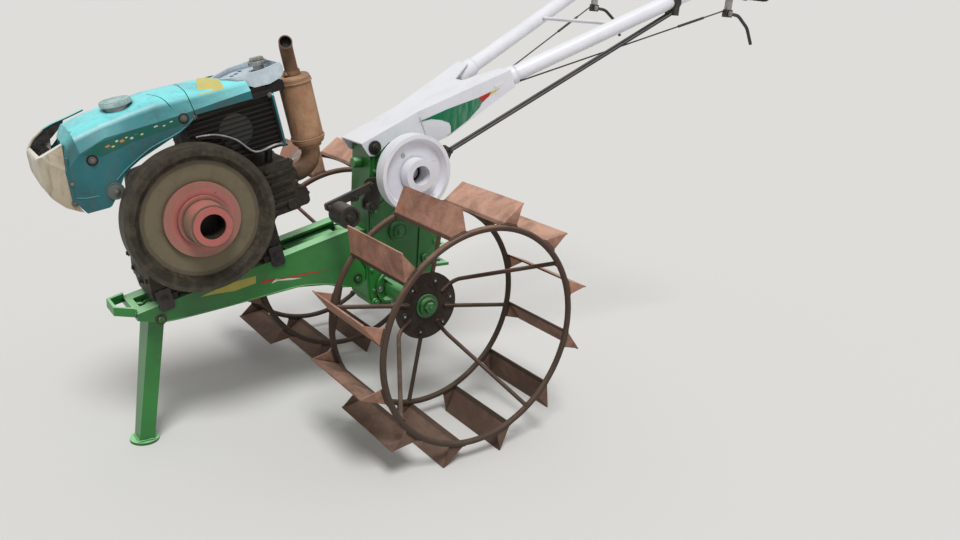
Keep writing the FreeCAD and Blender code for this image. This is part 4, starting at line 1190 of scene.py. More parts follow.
@dataclass(frozen=True)
class Chassis:
    """The sloping chassis: pins, folded border, welds and the side stripes."""

    half: float = 80.0
    pins: Outline = ((139, 434), (139, 556), (740, 396))
    border: Outline = ((735, 388), (690, 390), (590, 401), (478, 416), (338, 435), (245, 429), (178, 412))
    nose_welds: tuple[float, float] = (796.0, 790.0)
    nose_weld_up: tuple[float, float] = (402.0, 418.0)
    bumper_weld: tuple[float, float] = (802.0, 73.0)
    bumper_weld_up: tuple[float, float] = (411.0, 431.0)

    def dress(self, shop: Workshop) -> None:
        """Builds the chassis's fittings and stripes on both sides."""
        for side in Side:
            y = side.value * self.half
            pins = Shape()
            for ahead, up in self.pins:
                pins.collar(at(ahead, y + side.value * 0.3, up), side.way, 8.4, 15.0, 2.5, 28)
                pins.ring(at(ahead, y + side.value * 5.5, up), AHEAD, 8.8, 1.1, 6, 20)
                pins.tube([at(ahead, y + side.value * 5.5, up + 8),
                           at(ahead - 1, y + side.value * 6, up + 15)], 1.1, 6)
            shop.piece(f"pin_washers_{side.tag}", Body.FRAME, Slot.BLACK, pins)
            lip = Shape()
            lip.tube([at(ahead, y, up) for ahead, up in self.border], 2.0, 8)
            for ahead in self.nose_welds:
                lip.bead([at(ahead, y - side.value * 2, up) for up in self.nose_weld_up], 2.4)
            ahead, out = self.bumper_weld
            lip.bead([at(ahead, side.value * out, up) for up in self.bumper_weld_up], 2.8)
            shop.piece(f"chassis_border_{side.tag}", Body.FRAME, Slot.GREEN, lip)
            Stripes(side).dress(shop)


@dataclass(frozen=True)
class Stripes:
    """The coloured stripes on a chassis rail."""

    side: Side
    face: float = 80.15
    film: float = 0.35
    olive: Outline = (
        (844, 445), (800, 460), (756, 474), (718, 481), (681, 486), (682, 464), (744, 449), (796, 448))
    red: Outline = ((665, 463), (652, 473), (641, 470), (620, 471), (639, 464), (656, 459))
    pale: Outline = ((635, 456), (622, 469), (580, 466), (537, 461), (569, 459), (613, 462))
    red_line: Outline = ((643, 465), (580, 470), (524, 475), (450, 474), (524, 470), (580, 466))

    def dress(self, shop: Workshop) -> None:
        """Lays the films on the rail's outer face."""
        rows = (("olive", self.olive, OLIVE_FILM), ("red", self.red, RED_FILM),
                ("pale", self.pale, PALE_FILM), ("red_line", self.red_line, RED_FILM))
        for i, (name, outline, look) in enumerate(rows):
            film = Shape()
            lift = 0.12 * i
            film.slab([self._place(x, z, lift) for x, z in outline], self.side.way * self.film * MM)
            shop.piece(f"rail_film_{name}_{self.side.tag}", Body.FRAME, Slot.GREEN, film, look)

    def _place(self, x: float, z: float, lift: float) -> Vector:
        """Gives a point on the rail's face from its X and Z in millimetres."""
        return Vector((x * MM, self.side.value * (self.face + lift) * MM, z * MM))


@dataclass(frozen=True)
class Stand:
    """The front stand: the weld round its foot."""

    pivot: tuple[float, float] = (740.0, 396.0)
    lean: float = math.radians(5.6)
    depth: float = 21.0
    half: float = 26.5
    foot_top: float = 8.0

    def dress(self, shop: Workshop) -> None:
        """Welds the leg to its foot."""
        ahead = self.pivot[0] + (self.pivot[1] - self.foot_top) * math.tan(self.lean)
        d, h, z = self.depth, self.half, self.foot_top + 1
        weld = Shape()
        corners = ((-d, -h), (d, -h), (d, h), (-d, h))
        weld.bead([at(ahead + along, side, z) for along, side in corners], 3.4, 1.3)
        shop.piece("stand_foot_weld", Body.STAND, Slot.GREEN, weld)


@dataclass(frozen=True)
class Hitch:
    """The drawbar clevis: the bolts of its back plate and its welds."""

    rear: float = -180.0
    middle: float = 455.0
    bolt_half: tuple[float, float] = (24.0, 42.0)
    weld_half: tuple[float, float] = (30.0, 35.0)

    def dress(self, shop: Workshop) -> None:
        """Bolts the clevis on and welds its plates."""
        bolts = Shape()
        wide, high = self.bolt_half
        for side in (-wide, wide):
            for up in (-high, high):
                bolts.bolt(at(self.rear, side, self.middle + up), -AHEAD, 7.0)
        shop.piece("hitch_bolts", Body.FRAME, Slot.BRIGHT, bolts)
        wide, high = self.weld_half
        welds = Shape()
        for up in (-high, high):
            welds.bead([at(self.rear - 1, side, self.middle + up) for side in (-wide, wide)], 2.6, 1.3)
        shop.piece("hitch_welds", Body.FRAME, Slot.GREEN, welds)


@dataclass(frozen=True)
class Engine:
    """The engine block and head: bolts, injection pump, pipes, exhaust port and oil plugs."""

    cover: float = 108.0
    cover_bolts: Outline = (
        (-140, -150), (-60, -152), (30, -152), (108, -150), (114, -95), (112, -40), (96, 20), (74, 78),
        (0, 76), (-82, 68), (-122, 42), (-156, 12), (-152, -60))
    clamp_nuts: tuple[float, ...] = (-186.0, 145.0)
    start_face: float = 124.0
    pump: tuple[float, float] = (16.0, -121.0)
    pipe_route: Places = (
        (16, -121, 97), (8, -118, 108), (-40, -112, 100), (-180, -104, 82), (-232, -84, 84),
        (-258, -20, 90), (-259, 26, 90), (-259, 40, 92))
    filter_place: tuple[float, float] = (208.0, -60.0)
    hose_route: Places = ((194, -60, 84), (176, -70, 78), (150, -104, 62), (90, -122, 46), (39, -121, 50))

    def dress(self, shop: Workshop) -> None:
        """Builds the engine's fittings."""
        self._block(shop)
        self._clamps(shop)
        self._head(shop)
        self._pump(shop)
        self._filter(shop)

    def _block(self, shop: Workshop) -> None:
        """Bolts the gear cover on and adds the plugs, the starting shaft and the dipstick."""
        bolts = Shape()
        for forward, up in self.cover_bolts:
            bolts.bolt(on_engine(forward, -self.cover, up), -NEAR, 6.5, stud=False)
        for up in (-140, -95):
            for side in (-66, 66):
                bolts.bolt(on_engine(169, side, up), engine_way(1, 0, 0.25), 6.5, stud=False)
        shop.piece("engine_cover_bolts", Body.FRAME, Slot.ENGINE, bolts)
        oil = Shape()
        oil.bolt(on_engine(171, 0, -156), ENGINE_AHEAD, 10.0, stud=False)
        oil.drum(on_engine(92, -self.cover, -80), -NEAR, 15.0, 14.0, 26, 1.5)
        oil.drum(on_engine(92, -self.cover - 14, -80), -NEAR, 11.0, 7.0, 6, 1.2)
        oil.drum(on_engine(-118, -self.cover, -100), -NEAR, 7.0, 10.0, 18, 1.0)
        oil.ring(on_engine(-118, -self.cover - 16, -100), AHEAD, 8.0, 1.8, 8, 24)
        shop.piece("engine_oil_plugs", Body.FRAME, Slot.BLACK, oil)
        start = Shape()
        face = on_engine(0, -self.start_face, 0)
        start.collar(face, -NEAR, 13.0, 22.0, 22.0, 32)
        start.drum(face, -NEAR, 12.0, 12.0, 24, 1.0)
        shop.piece("starting_shaft", Body.FRAME, Slot.BRIGHT, start)

    def _clamps(self, shop: Workshop) -> None:
        """Puts nuts on the studs of the engine clamps."""
        nuts = Shape()
        for side in Side:
            for forward in self.clamp_nuts:
                nuts.bolt(on_engine(forward, side.value * 87, -199), side.way, 9.0)
                nuts.bolt(on_engine(forward, side.value * 80.5, -170), ENGINE_UP, 6.5)
        shop.piece("clamp_nuts", Body.FRAME, Slot.BLACK, nuts)

    def _head(self, shop: Workshop) -> None:
        """Adds head nuts, rocker cover bolts, the exhaust port and the stay at the head's top."""
        nuts = Shape()
        for side in (-66, 66):
            for up in (48, -14):
                nuts.bolt(on_engine(-300, side, up), ENGINE_BACK, 8.5)
            nuts.bolt(on_engine(-336, side * 0.72, -64), ENGINE_BACK, 6.5)
        for side, up in ((-20, -28), (40, 18)):
            nuts.bolt(on_engine(-309, side, up), ENGINE_BACK, 6.5)
        for up in (-78, -45, -15, 15, 45):
            nuts.bolt(on_engine(-222, 78, up), NEAR, 6.0, stud=False)
        shop.piece("head_nuts", Body.FRAME, Slot.ENGINE, nuts)
        port = Shape()
        port.drum(on_engine(-306, 12, -6), ENGINE_BACK, 37.0, 13.0, 36, 4.0)
        port.ring(on_engine(-322, 11, -6), ENGINE_BACK, 27.0, 4.5, 10, 36)
        shop.piece("exhaust_port_flange", Body.FRAME, Slot.ENGINE, port)
        stay = Shape()
        stay.drum(on_engine(-298, 60, 44), engine_way(-1, 0, 0.3), 4.0, 24.0, 12, 0.5)
        stay.bolt(on_engine(-304, 60, 45), engine_way(-1, 0, 0.3), 8.0, stud=False)
        stay.slab([on_engine(-314, 57, 44), on_engine(-345, 57, 61), on_engine(-340, 57, 70),
                   on_engine(-310, 57, 54)], NEAR * 6 * MM)
        shop.piece("head_stay_clip", Body.FRAME, Slot.BRIGHT, stay)

    def _pump(self, shop: Workshop) -> None:
        """Puts the injection pump on the far cover and runs its pipe to the injector."""
        forward, side = self.pump
        pump = Shape()
        pump.block(on_engine(forward, side + 1, 52), ENGINE_AHEAD, NEAR, (48, 26, 44), 3.0)
        pump.drum(on_engine(forward, side, 72), ENGINE_UP, 11.0, 18.0, 20, 1.5)
        pump.drum(on_engine(forward, side, 90), ENGINE_UP, 8.0, 9.0, 6, 0.8)
        shop.piece("injection_pump", Body.FRAME, Slot.ALLOY, pump)
        pipe = Shape()
        pipe.tube([on_engine(*point) for point in self.pipe_route], 3.2, 8)
        pipe.drum(on_engine(-259, 40, 86), engine_way(-0.3, 0, 1), 7.0, 9.0, 6, 0.8)
        shop.piece("injection_pipe", Body.FRAME, Slot.BRIGHT, pipe)

    def _filter(self, shop: Workshop) -> None:
        """Hangs the fuel tap and filter under the tank, with its hose to the pump."""
        forward, side = self.filter_place
        bowl = Shape()
        bowl.drum(on_engine(forward, side, 90), ENGINE_DOWN, 17.0, 10.0, 28, 1.5)
        bowl.drum(on_engine(forward, side, 80), ENGINE_DOWN, 15.0, 26.0, 28, 2.5, 12.0)
        shop.piece("fuel_filter", Body.FRAME, Slot.ALLOY, bowl)
        hose = Shape()
        hose.tube([on_engine(*point) for point in self.hose_route], 4.2, 10)
        shop.piece("fuel_hose", Body.FRAME, Slot.RUBBER, hose)


@dataclass(frozen=True)
class Hood:
    """The fuel tank, rear hood and lamp cover: bolts, folds, worn films, cap and the far brow."""

    wall: float = 97.0
    bolts: Outline = ((196.7, 217.7), (-44.0, 254.0))
    disc: tuple[float, float] = (170.0, 128.0)
    lower_lip: Outline = (
        (158, 152), (134.7, 167.8), (103.5, 183.8), (52.4, 205.6), (-21.4, 222.1), (-68, 246))
    fold: Outline = ((250, 240), (256.5, 202.6), (262, 140), (240, 132), (209.9, 127.7))
    stripe: Outline = (
        (214, 236), (171, 252.5), (100, 259), (82, 260), (-38, 262), (-30, 239), (40, 237), (94, 233),
        (173, 220))
    flecks: tuple[tuple[float, float, float, float, str], ...] = (
        (152, 240, 13, 3.0, "o"), (140, 236, 9, 2.4, "y"), (128, 246, 8, 3.0, "p"), (116, 243, 12, 4.0, "o"),
        (104, 248, 7, 2.2, "y"), (92, 243, 9, 3.2, "p"), (79, 249, 7, 2.4, "o"), (66, 245, 8, 2.4, "y"),
        (28, 254, 12, 2.0, "p"), (8, 250, 8, 1.8, "p"), (-12, 255, 9, 1.6, "p"))
    patch: Outline = ((-104, 82), (-172, 82), (-178, 30), (-140, -28))
    patch_above: float = 380.0
    seam_wall: float = 97.2
    cap: tuple[float, float] = (90.0, 34.0)
    cap_radius: float = 38.4
    brow_side: float = -70.0
    brow_feet: Outline = ((210, 286), (244, 262), (300, 236))
    brow: Outline = ((306, 248), (286, 270), (258, 286), (232, 294), (203, 299), (176, 304), (152, 309))

    def dress(self, shop: Workshop) -> None:
        """Builds the hood's fittings."""
        self._fasteners(shop)
        self._folds(shop)
        self._films(shop)
        self._cap(shop)
        self._brow(shop)

    def _fasteners(self, shop: Workshop) -> None:
        """Bolts the hood on both sides, each bolt on a black rubber washer."""
        for side in Side:
            rubber, bolts = Shape(), Shape()
            for forward, up in self.bolts:
                place = on_engine(forward, side.value * self.wall, up)
                rubber.drum(place, side.way, 13.5, 2.0, 32, 0.6)
                bolts.bolt(place + side.way * 2 * MM, side.way, 6.5, stud=False)
            shop.piece(f"hood_washers_{side.tag}", Body.FRAME, Slot.RUBBER, rubber)
            shop.piece(f"hood_bolts_{side.tag}", Body.FRAME, Slot.ALLOY, bolts, DULL_METAL)
        forward, up = self.disc
        glass, screw = Shape(), Shape()
        glass.drum(on_engine(forward, self.wall, up), NEAR, 22.0, 2.4, 40, 0.8)
        glass.ring(on_engine(forward, self.wall + 2, up), NEAR, 20.5, 1.6, 8, 40)
        screw.bolt(on_engine(forward - 2, self.wall + 2.4, up - 2), NEAR, 6.0, stud=False)
        shop.piece("hood_disc", Body.FRAME, Slot.BLUE, glass, GLASS_GREY)
        shop.piece("hood_disc_screw", Body.FRAME, Slot.ALLOY, screw, DULL_METAL)

    def _folds(self, shop: Workshop) -> None:
        """Adds the rolled lip along the lower edge and the pressed folds at the front."""
        for side in Side:
            lip = Shape()
            y = side.value * (self.wall - 0.8)
            lip.tube([on_engine(u, y, w) for u, w in self.lower_lip], 2.6, 8)
            for start, end in zip(self.fold, self.fold[1:]):
                lip.tube([on_engine(start[0], y, start[1]), on_engine(end[0], y, end[1])], 2.0, 8)
            shop.piece(f"hood_folds_{side.tag}", Body.FRAME, Slot.BLUE, lip)
        seam = Shape()
        for side in Side:
            seam.tube([on_engine(-75, side.value * self.seam_wall, up) for up in (246, 262)], 1.2, 6)
        shop.piece("hood_seam_rubber", Body.FRAME, Slot.RUBBER, seam)

    def _films(self, shop: Workshop) -> None:
        """Lays the worn side stripe with its flecks, and the yellow patch on top."""
        looks = {"o": ORANGE_FILM, "y": YELLOW_FILM, "p": PALE_FILM}
        for side in Side:
            y = side.value * (self.wall + 0.1)
            band = Shape()
            band.slab([on_engine(u, y, w) for u, w in self.stripe], side.way * 0.3 * MM)
            shop.piece(f"hood_stripe_{side.tag}", Body.FRAME, Slot.BLUE, band, TEAL_FILM)
            y_mark = side.value * (self.wall + 0.42)
            for key, look in looks.items():
                marks = Shape()
                for u, w, long, high, kind in self.flecks:
                    if kind == key:
                        marks.slab([on_engine(u - long / 2, y_mark, w - high / 2),
                                    on_engine(u + long / 3, y_mark, w - high),
                                    on_engine(u + long / 2, y_mark, w + high / 3),
                                    on_engine(u - long / 4, y_mark, w + high)], side.way * 0.2 * MM)
                shop.piece(f"hood_{look.name}_{side.tag}", Body.FRAME, Slot.BLUE, marks, look)
        sheet = Shape()
        corners = [on_engine(u, y, self.patch_above) for u, y in self.patch]
        sheet.drape(shop.surface("rear_hood"), corners, ENGINE_DOWN, 0.6)
        shop.piece("hood_patch", Body.FRAME, Slot.BLUE, sheet, YELLOW_FILM)

    def _cap(self, shop: Workshop) -> None:
        """Finishes the fuel cap with its rolled rim and its grip ribs."""
        forward, side = self.cap
        rim = Shape()
        rim.drum(on_engine(forward, side, 318.5), ENGINE_UP, self.cap_radius, 12.9, 48, 2.4)
        rim.ring(on_engine(forward, side, 330.5), ENGINE_UP, 36.0, 1.8, 8, 48)
        rim.ring(on_engine(forward, side, 331), ENGINE_UP, 22.0, 1.2, 8, 40)
        rim.grips(on_engine(forward, side, 324.5), self.cap_radius, 28, (8, 1.6, 3))
        shop.piece("fuel_cap_rim", Body.FRAME, Slot.ALLOY, rim, CAP_METAL)

    def _brow(self, shop: Workshop) -> None:
        """Adds the thin rim that runs from the lamp cover up over the far side of the recess, and a dark wall
        under it that stands for the recess's shade: painted shade.
        """
        line = [on_engine(u, self.brow_side, w) for u, w in self.brow]
        pale, blue, wall = Shape(), Shape(), Shape()
        pale.tube(line[:3], 3.4, 10, 6)
        blue.tube(line[2:], 3.0, 10, 5)
        feet = [on_engine(u, self.brow_side, w) for u, w in self.brow_feet]
        wall.slab([point - NEAR * MM for point in line[:5] + feet], NEAR * 2 * MM)
        shop.piece("lamp_brow", Body.FRAME, Slot.CREAM, pale)
        shop.piece("hood_brow", Body.FRAME, Slot.BLUE, blue)
        shop.piece("lamp_brow_shade_wall", Body.FRAME, Slot.LAMP, wall)


@dataclass(frozen=True)
class LampUnit:
    """The lamp cover and lamp: screws, dark lens and wire."""

    screws: Places = ((258, 95, 176), (268, 94, 128))
    lens: tuple[float, float, float] = (289.0, -9.0, 232.0)
    lens_size: tuple[float, float, float] = (20.0, 104.0, 3.0)
    wire_route: Places = ((262, 40, 236), (256, 48, 246), (250, 52, 234), (248, 52, 212))

    def dress(self, shop: Workshop) -> None:
        """Builds the lamp's fittings."""
        screws = Shape()
        for side in Side:
            for forward, out, up in self.screws:
                screws.bolt(on_engine(forward, side.value * out, up), side.way, 5.0, stud=False)
        shop.piece("lamp_cover_screws", Body.FRAME, Slot.ALLOY, screws, DULL_METAL)
        lens = Shape()
        lens.block(on_engine(*self.lens), engine_way(0.35, 0, 1), NEAR, self.lens_size, 1.0)
        shop.piece("lamp_lens", Body.FRAME, Slot.LAMP, lens, SOOT_AND_SHADE)
        wire = Shape()
        wire.tube([on_engine(*point) for point in self.wire_route], 2.0, 8)
        shop.piece("lamp_wire", Body.FRAME, Slot.RUBBER, wire)


@dataclass(frozen=True)
class Radiator:
    """The radiator: fins between the slats, bolts, bent rim, fan's shadow, tray marks, cap rim and tap."""

    low: float = 103.0
    high: float = 262.0
    end_gap: float = 12.0
    face: float = 83.7
    slats: int = 11
    fin: tuple[float, float, float] = (226.0, 1.6, 1.2)
    fin_shares: tuple[float, float] = (0.34, 0.66)
    middle: float = -176.0
    bolt_wall: float = 92.7
    rim_wall: float = 95.5
    rim: Outline = ((-60, 198), (-82, 196), (-118, 187), (-162, 160), (-203, 114), (-262, 116), (-296, 111))
    bolts: Outline = ((-286, 250), (-286, 112), (-72, 250))
    fan: tuple[float, float] = (-171.0, 182.0)
    tray_top: float = 303.0
    tray_marks: Outline = ((-232, -15), (-250, -30), (-270, -52))
    cap: tuple[float, float] = (-306.0, 4.0)
    tap: tuple[float, float] = (-270.0, 120.0)

    def dress(self, shop: Workshop) -> None:
        """Builds the radiator's fittings."""
        for side in Side:
            self._wall(shop, side)
        fan = Shape()
        forward, up = self.fan
        fan.drum(on_engine(forward, self.face, up), NEAR, 46.0, 1.6, 40)
        shop.piece("radiator_fan_patch", Body.FRAME, Slot.RADIATOR, fan, FAN_GREY)
        self._top(shop)
        forward, up = self.tap
        tap = Shape()
        tap.drum(on_engine(forward, -92, up), -NEAR, 5.0, 10.0, 14, 0.8)
        tap.block(on_engine(forward, -104, up), ENGINE_UP, NEAR, (18, 4, 6), 1.0)
        shop.piece("radiator_drain_tap", Body.FRAME, Slot.BRIGHT, tap)

    def _wall(self, shop: Workshop, side: Side) -> None:
        """Fills one side with fins, and adds its bolts and its bent rim."""
        pitch = (self.high - self.low - self.end_gap) / self.slats
        fins = Shape()
        for i in range(self.slats - 1):
            for part in self.fin_shares:
                w = self.low + (i + 0.5 + part) * pitch
                place = on_engine(self.middle, side.value * (self.face + 0.5), w)
                fins.block(place, ENGINE_AHEAD, NEAR, self.fin)
        shop.piece(f"radiator_fins_{side.tag}", Body.FRAME, Slot.RADIATOR, fins)
        bolts = Shape()
        for forward, up in self.bolts:
            bolts.bolt(on_engine(forward, side.value * self.bolt_wall, up), side.way, 5.5, stud=False)
        shop.piece(f"radiator_bolts_{side.tag}", Body.FRAME, Slot.ALLOY, bolts, DULL_METAL)
        rim = Shape()
        rim.tube([on_engine(u, side.value * self.rim_wall, w) for u, w in self.rim], 2.8, 8, 4)
        shop.piece(f"radiator_rim_{side.tag}", Body.FRAME, Slot.ALLOY, rim)

    def _top(self, shop: Workshop) -> None:
        """Marks the tray's top and finishes the cap with its rim and grip ribs."""
        marks = Shape()
        for forward, side in self.tray_marks:
            marks.drum(on_engine(forward, side, self.tray_top), ENGINE_UP, 6.0, 0.8, 14)
        forward, side = self.cap
        marks.collar(on_engine(forward, side, self.tray_top), ENGINE_UP, 15.3, 21.0, 1.6, 28)
        shop.piece("tray_marks", Body.FRAME, Slot.TRAY, marks, SOOT_AND_SHADE)
        cap = Shape()
        cap.ring(on_engine(forward, side, 329.5), ENGINE_UP, 22.5, 1.8, 8, 36)
        cap.grips(on_engine(forward, side, 325), 25, 20, (8, 1.8, 3.4))
        shop.piece("radiator_cap_rim", Body.FRAME, Slot.BRIGHT, cap)


@dataclass(frozen=True)
class Exhaust:
    """The exhaust: weld rings, tail pipe clamp and the sooty mouth."""

    along: float = -396.0
    side: float = 10.0
    seams: tuple[tuple[float, float, float], ...] = (
        (86, 48.6, 2.2), (249, 48.6, 2.2), (70, 41, 3.0), (265, 41, 3.0), (67, 28.5, 3.0))
    clamp_up: float = 275.5
    mouth: tuple[float, float, float] = (-384.0, 46.0, 366.0)
    mouth_way: tuple[float, float, float] = (12.0, 36.0, 18.0)
    mouth_depth: float = 22.0

    def dress(self, shop: Workshop) -> None:
        """Builds the exhaust's fittings."""
        rings = Shape()
        for w, radius, wire in self.seams:
            rings.ring(on_engine(self.along, self.side, w), ENGINE_UP, radius, wire, 8, 48)
        rings.tube([on_engine(self.along - 30, self.side - 37, w) for w in (84, 252)], 2.0, 8)
        shop.piece("muffler_seams", Body.FRAME, Slot.PIPE, rings)
        clamp = Shape()
        clamp.collar(on_engine(self.along, self.side, 269), ENGINE_UP, 18.6, 23.0, 13.0)
        lug = on_engine(self.along + 24, self.side + 4, self.clamp_up)
        clamp.block(lug, ENGINE_UP, NEAR, (12, 12, 8), 1.0)
        clamp.bolt(on_engine(self.along + 24, self.side + 10, self.clamp_up), NEAR, 5.5)
        shop.piece("tail_pipe_clamp", Body.FRAME, Slot.PIPE, clamp)
        way = engine_way(*self.mouth_way).normalized()
        bottom = on_engine(*self.mouth) - way * self.mouth_depth * MM
        soot = Shape()
        soot.collar(bottom, way, 15.0, 15.9, 21.0)
        soot.drum(bottom, way, 15.6, 1.5, 32)
        shop.piece("tail_pipe_soot", Body.FRAME, Slot.PIPE, soot, SOOT_AND_SHADE)


@dataclass(frozen=True)
class AirCleaner:
    """The air cleaner: wing nut, band screw and rolled edges."""

    along: float = -260.0
    side: float = -152.0
    rolls: tuple[tuple[float, float], ...] = ((-38, 50), (78, 50), (96, 45.5), (113, 45.5))

    def dress(self, shop: Workshop) -> None:
        """Builds the air cleaner's fittings."""
        nut = Shape()
        nut.drum(on_engine(self.along, self.side, 116), ENGINE_UP, 7.0, 8.0, 20, 1.0)
        for way in (-1, 1):
            wing = on_engine(self.along + way * 12, self.side, 123)
            nut.block(wing, engine_way(way, 0, 0.7), NEAR, (15, 3, 8), 1.4)
        nut.block(on_engine(self.along, self.side - 56, 4), ENGINE_AHEAD, NEAR, (24, 8, 9), 1.0)
        nut.drum(on_engine(self.along - 14, self.side - 56, 4), ENGINE_AHEAD, 2.5, 30.0, 12, 0.5)
        shop.piece("air_cleaner_nut", Body.FRAME, Slot.BRIGHT, nut)
        rolls = Shape()
        for w, radius in self.rolls:
            rolls.ring(on_engine(self.along, self.side, w), ENGINE_UP, radius, 2.0, 8, 44)
        shop.piece("air_cleaner_rolls", Body.FRAME, Slot.BLACK, rolls)


@dataclass(frozen=True)
class Drive:
    """The belt drive: flywheel bore, pulley face, roller nut, spool bolt, tension rods and link clamp."""

    bore_bottom: float = 162.0
    pulley_face: float = 174.1
    hub_face: float = 176.0
    plug: tuple[float, float, float] = (62.9, 189.0, 840.1)
    hole: tuple[float, float, float] = (127.3, 189.6, 778.6)
    roller_nut: tuple[float, float, float] = (250.0, 219.5, 675.0)
    spool: tuple[float, float, float] = (112.0, 104.5, 667.0)
    clamp: tuple[float, float, float] = (165.0, 88.0, 700.0)
    link: Outline = ((112, 712), (250, 675))
    rods: tuple[Places, ...] = (
        ((140, 90, 711), (112, 86, 722), (88, 80, 731)), ((105, 104, 667), (84, 101, 678), (62, 98, 690)))

    def dress(self, shop: Workshop) -> None:
        """Builds the drive's fittings."""
        self._crank(shop)
        self._pulley(shop)
        self._tension(shop)

    def _crank(self, shop: Workshop) -> None:
        """Lines the flywheel's bore with a dark film: painted shade inside the bore."""
        bore = Shape()
        bore.collar(CRANK + NEAR * self.bore_bottom * MM, NEAR, 33.1, 34.0, 62.0, 48)
        bore.drum(CRANK + NEAR * (self.bore_bottom - 1) * MM, NEAR, 34.0, 1.5, 48)
        shop.piece("flywheel_bore_shade", Body.CRANK, Slot.FLYWHEEL, bore, SOOT_AND_SHADE)

    def _pulley(self, shop: Workshop) -> None:
        """Adds the pulley's dark ring round the hub, its plug, the hub's rim, and a dark disc as painted
        shade where a hole is.
        """
        soot = Shape()
        soot.collar(PULLEY + NEAR * self.pulley_face * MM, NEAR, 20.0, 44.0, 0.5, 48)
        shop.piece("pulley_dark_ring", Body.PULLEY, Slot.BLACK, soot, SOOT_AND_SHADE)
        plug = Shape()
        plug.drum(at(*self.plug), NEAR, 6.5, 3.0, 20, 0.6)
        plug.ring(PULLEY + NEAR * self.hub_face * MM, NEAR, 19.5, 1.4, 8, 36)
        shop.piece("pulley_plug", Body.PULLEY, Slot.BRIGHT, plug)
        hole = Shape()
        hole.drum(at(*self.hole), NEAR, 6.0, 0.8, 20)
        shop.piece("painted_pulley_hole", Body.PULLEY, Slot.BLACK, hole, SOOT_AND_SHADE)

    def _tension(self, shop: Workshop) -> None:
        """Adds the roller's nut, the spool's bolt, the link's clamp and the rods."""
        nut = Shape()
        nut.bolt(at(*self.roller_nut), NEAR, 9.0)
        shop.piece("roller_nut", Body.FRAME, Slot.ENGINE, nut)
        ahead, side, up = self.spool
        spool = Shape()
        spool.ring(at(ahead, side, up), NEAR, 15.5, 1.6, 8, 32)
        spool.bolt(at(ahead, side + 0.5, up), NEAR, 8.0, washer=False)
        shop.piece("spool_bolt", Body.FRAME, Slot.ENGINE, spool)
        ahead, side, up = self.clamp
        start, end = (at(along, 0, height) for along, height in self.link)
        clamp = Shape()
        clamp.block(at(ahead, side, up), end - start, UP, (26, 22, 20), 2.0)
        clamp.bolt(at(ahead, side + 10, up), NEAR, 8.0)
        clamp.bolt(at(ahead, side, up + 10), UP, 7.0)
        shop.piece("link_clamp", Body.FRAME, Slot.BLACK, clamp)
        rods = Shape()
        for route in self.rods:
            rods.tube([at(*point) for point in route], 3.0, 8, 3)
        shop.piece("tension_rods", Body.FRAME, Slot.BLACK, rods)


@dataclass(frozen=True)
class Bracket:
    """The white handle bracket: bolts, welds and the worn stripe films."""

    half: float = 66.0
    flare_start: float = 211.0
    flare: float = 82.0 / 326.0
    green: Outline = (
        (207, -31), (240, -31.5), (303, -32), (360, -36), (410, -40), (417, -60), (403, -72), (357, -94),
        (287, -112), (274, -112), (290, -111), (297, -91), (296, -76), (276, -57), (247, -40))
    red: Outline = ((410, -40), (456, -39), (445, -50), (417, -60))
    yellow: Outline = ((456, -39), (486, -40), (468, -46), (445, -50))
    nose_bolt: tuple[float, float] = (34.0, -31.0)
    rod_bolt: tuple[float, float] = (-160.0, 832.0)
    weld_back: float = 214.0

    def dress(self, shop: Workshop) -> None:
        """Builds the bracket's fittings on both sides."""
        for side in Side:
            films = (("green", self.green, GREEN_FILM), ("red", self.red, RED_FILM),
                     ("yellow", self.yellow, YELLOW_FILM))
            for name, outline, look in films:
                film = Shape()
                film.slab([self._wall(side, back, up, 0.25) for back, up in outline], side.way * 0.35 * MM)
                shop.piece(f"bracket_film_{name}_{side.tag}", Body.FRAME, Slot.GREEN, film, look)
            bolts = Shape()
            back, up = self.nose_bolt
            bolts.bolt(on_bracket(back, side.value * self.half, up), side.way, 15.0)
            ahead, up = self.rod_bolt
            bolts.bolt(at(ahead, side.value * self._half_at(ahead, up), up), side.way, 10.0)
            shop.piece(f"bracket_bolts_{side.tag}", Body.FRAME, Slot.BLACK, bolts)
            weld = Shape()
            weld.bead([self._wall(side, self.weld_back, up, 0.5) for up in (-18, -112)], 2.2, 1.4)
            shop.piece(f"bracket_welds_{side.tag}", Body.FRAME, Slot.WHITE, weld)

    def _wall(self, side: Side, back: float, up: float, out: float) -> Vector:
        """Gives a point on the bracket's side wall, lifted out of it."""
        spread = self.half + max(0.0, back - self.flare_start) * self.flare + out
        return on_bracket(back, side.value * spread, up)

    def _half_at(self, ahead: float, up: float) -> float:
        """Gives the wall's Y at a point beside the axle frame, in millimetres."""
        level = BRACKET_NOSE.x / MM - AXLE.x / MM - ahead
        drop = BRACKET_NOSE.z / MM - up
        back = level * math.cos(BRACKET_TILT) - drop * math.sin(BRACKET_TILT)
        return self.half + max(0.0, back - self.flare_start) * self.flare


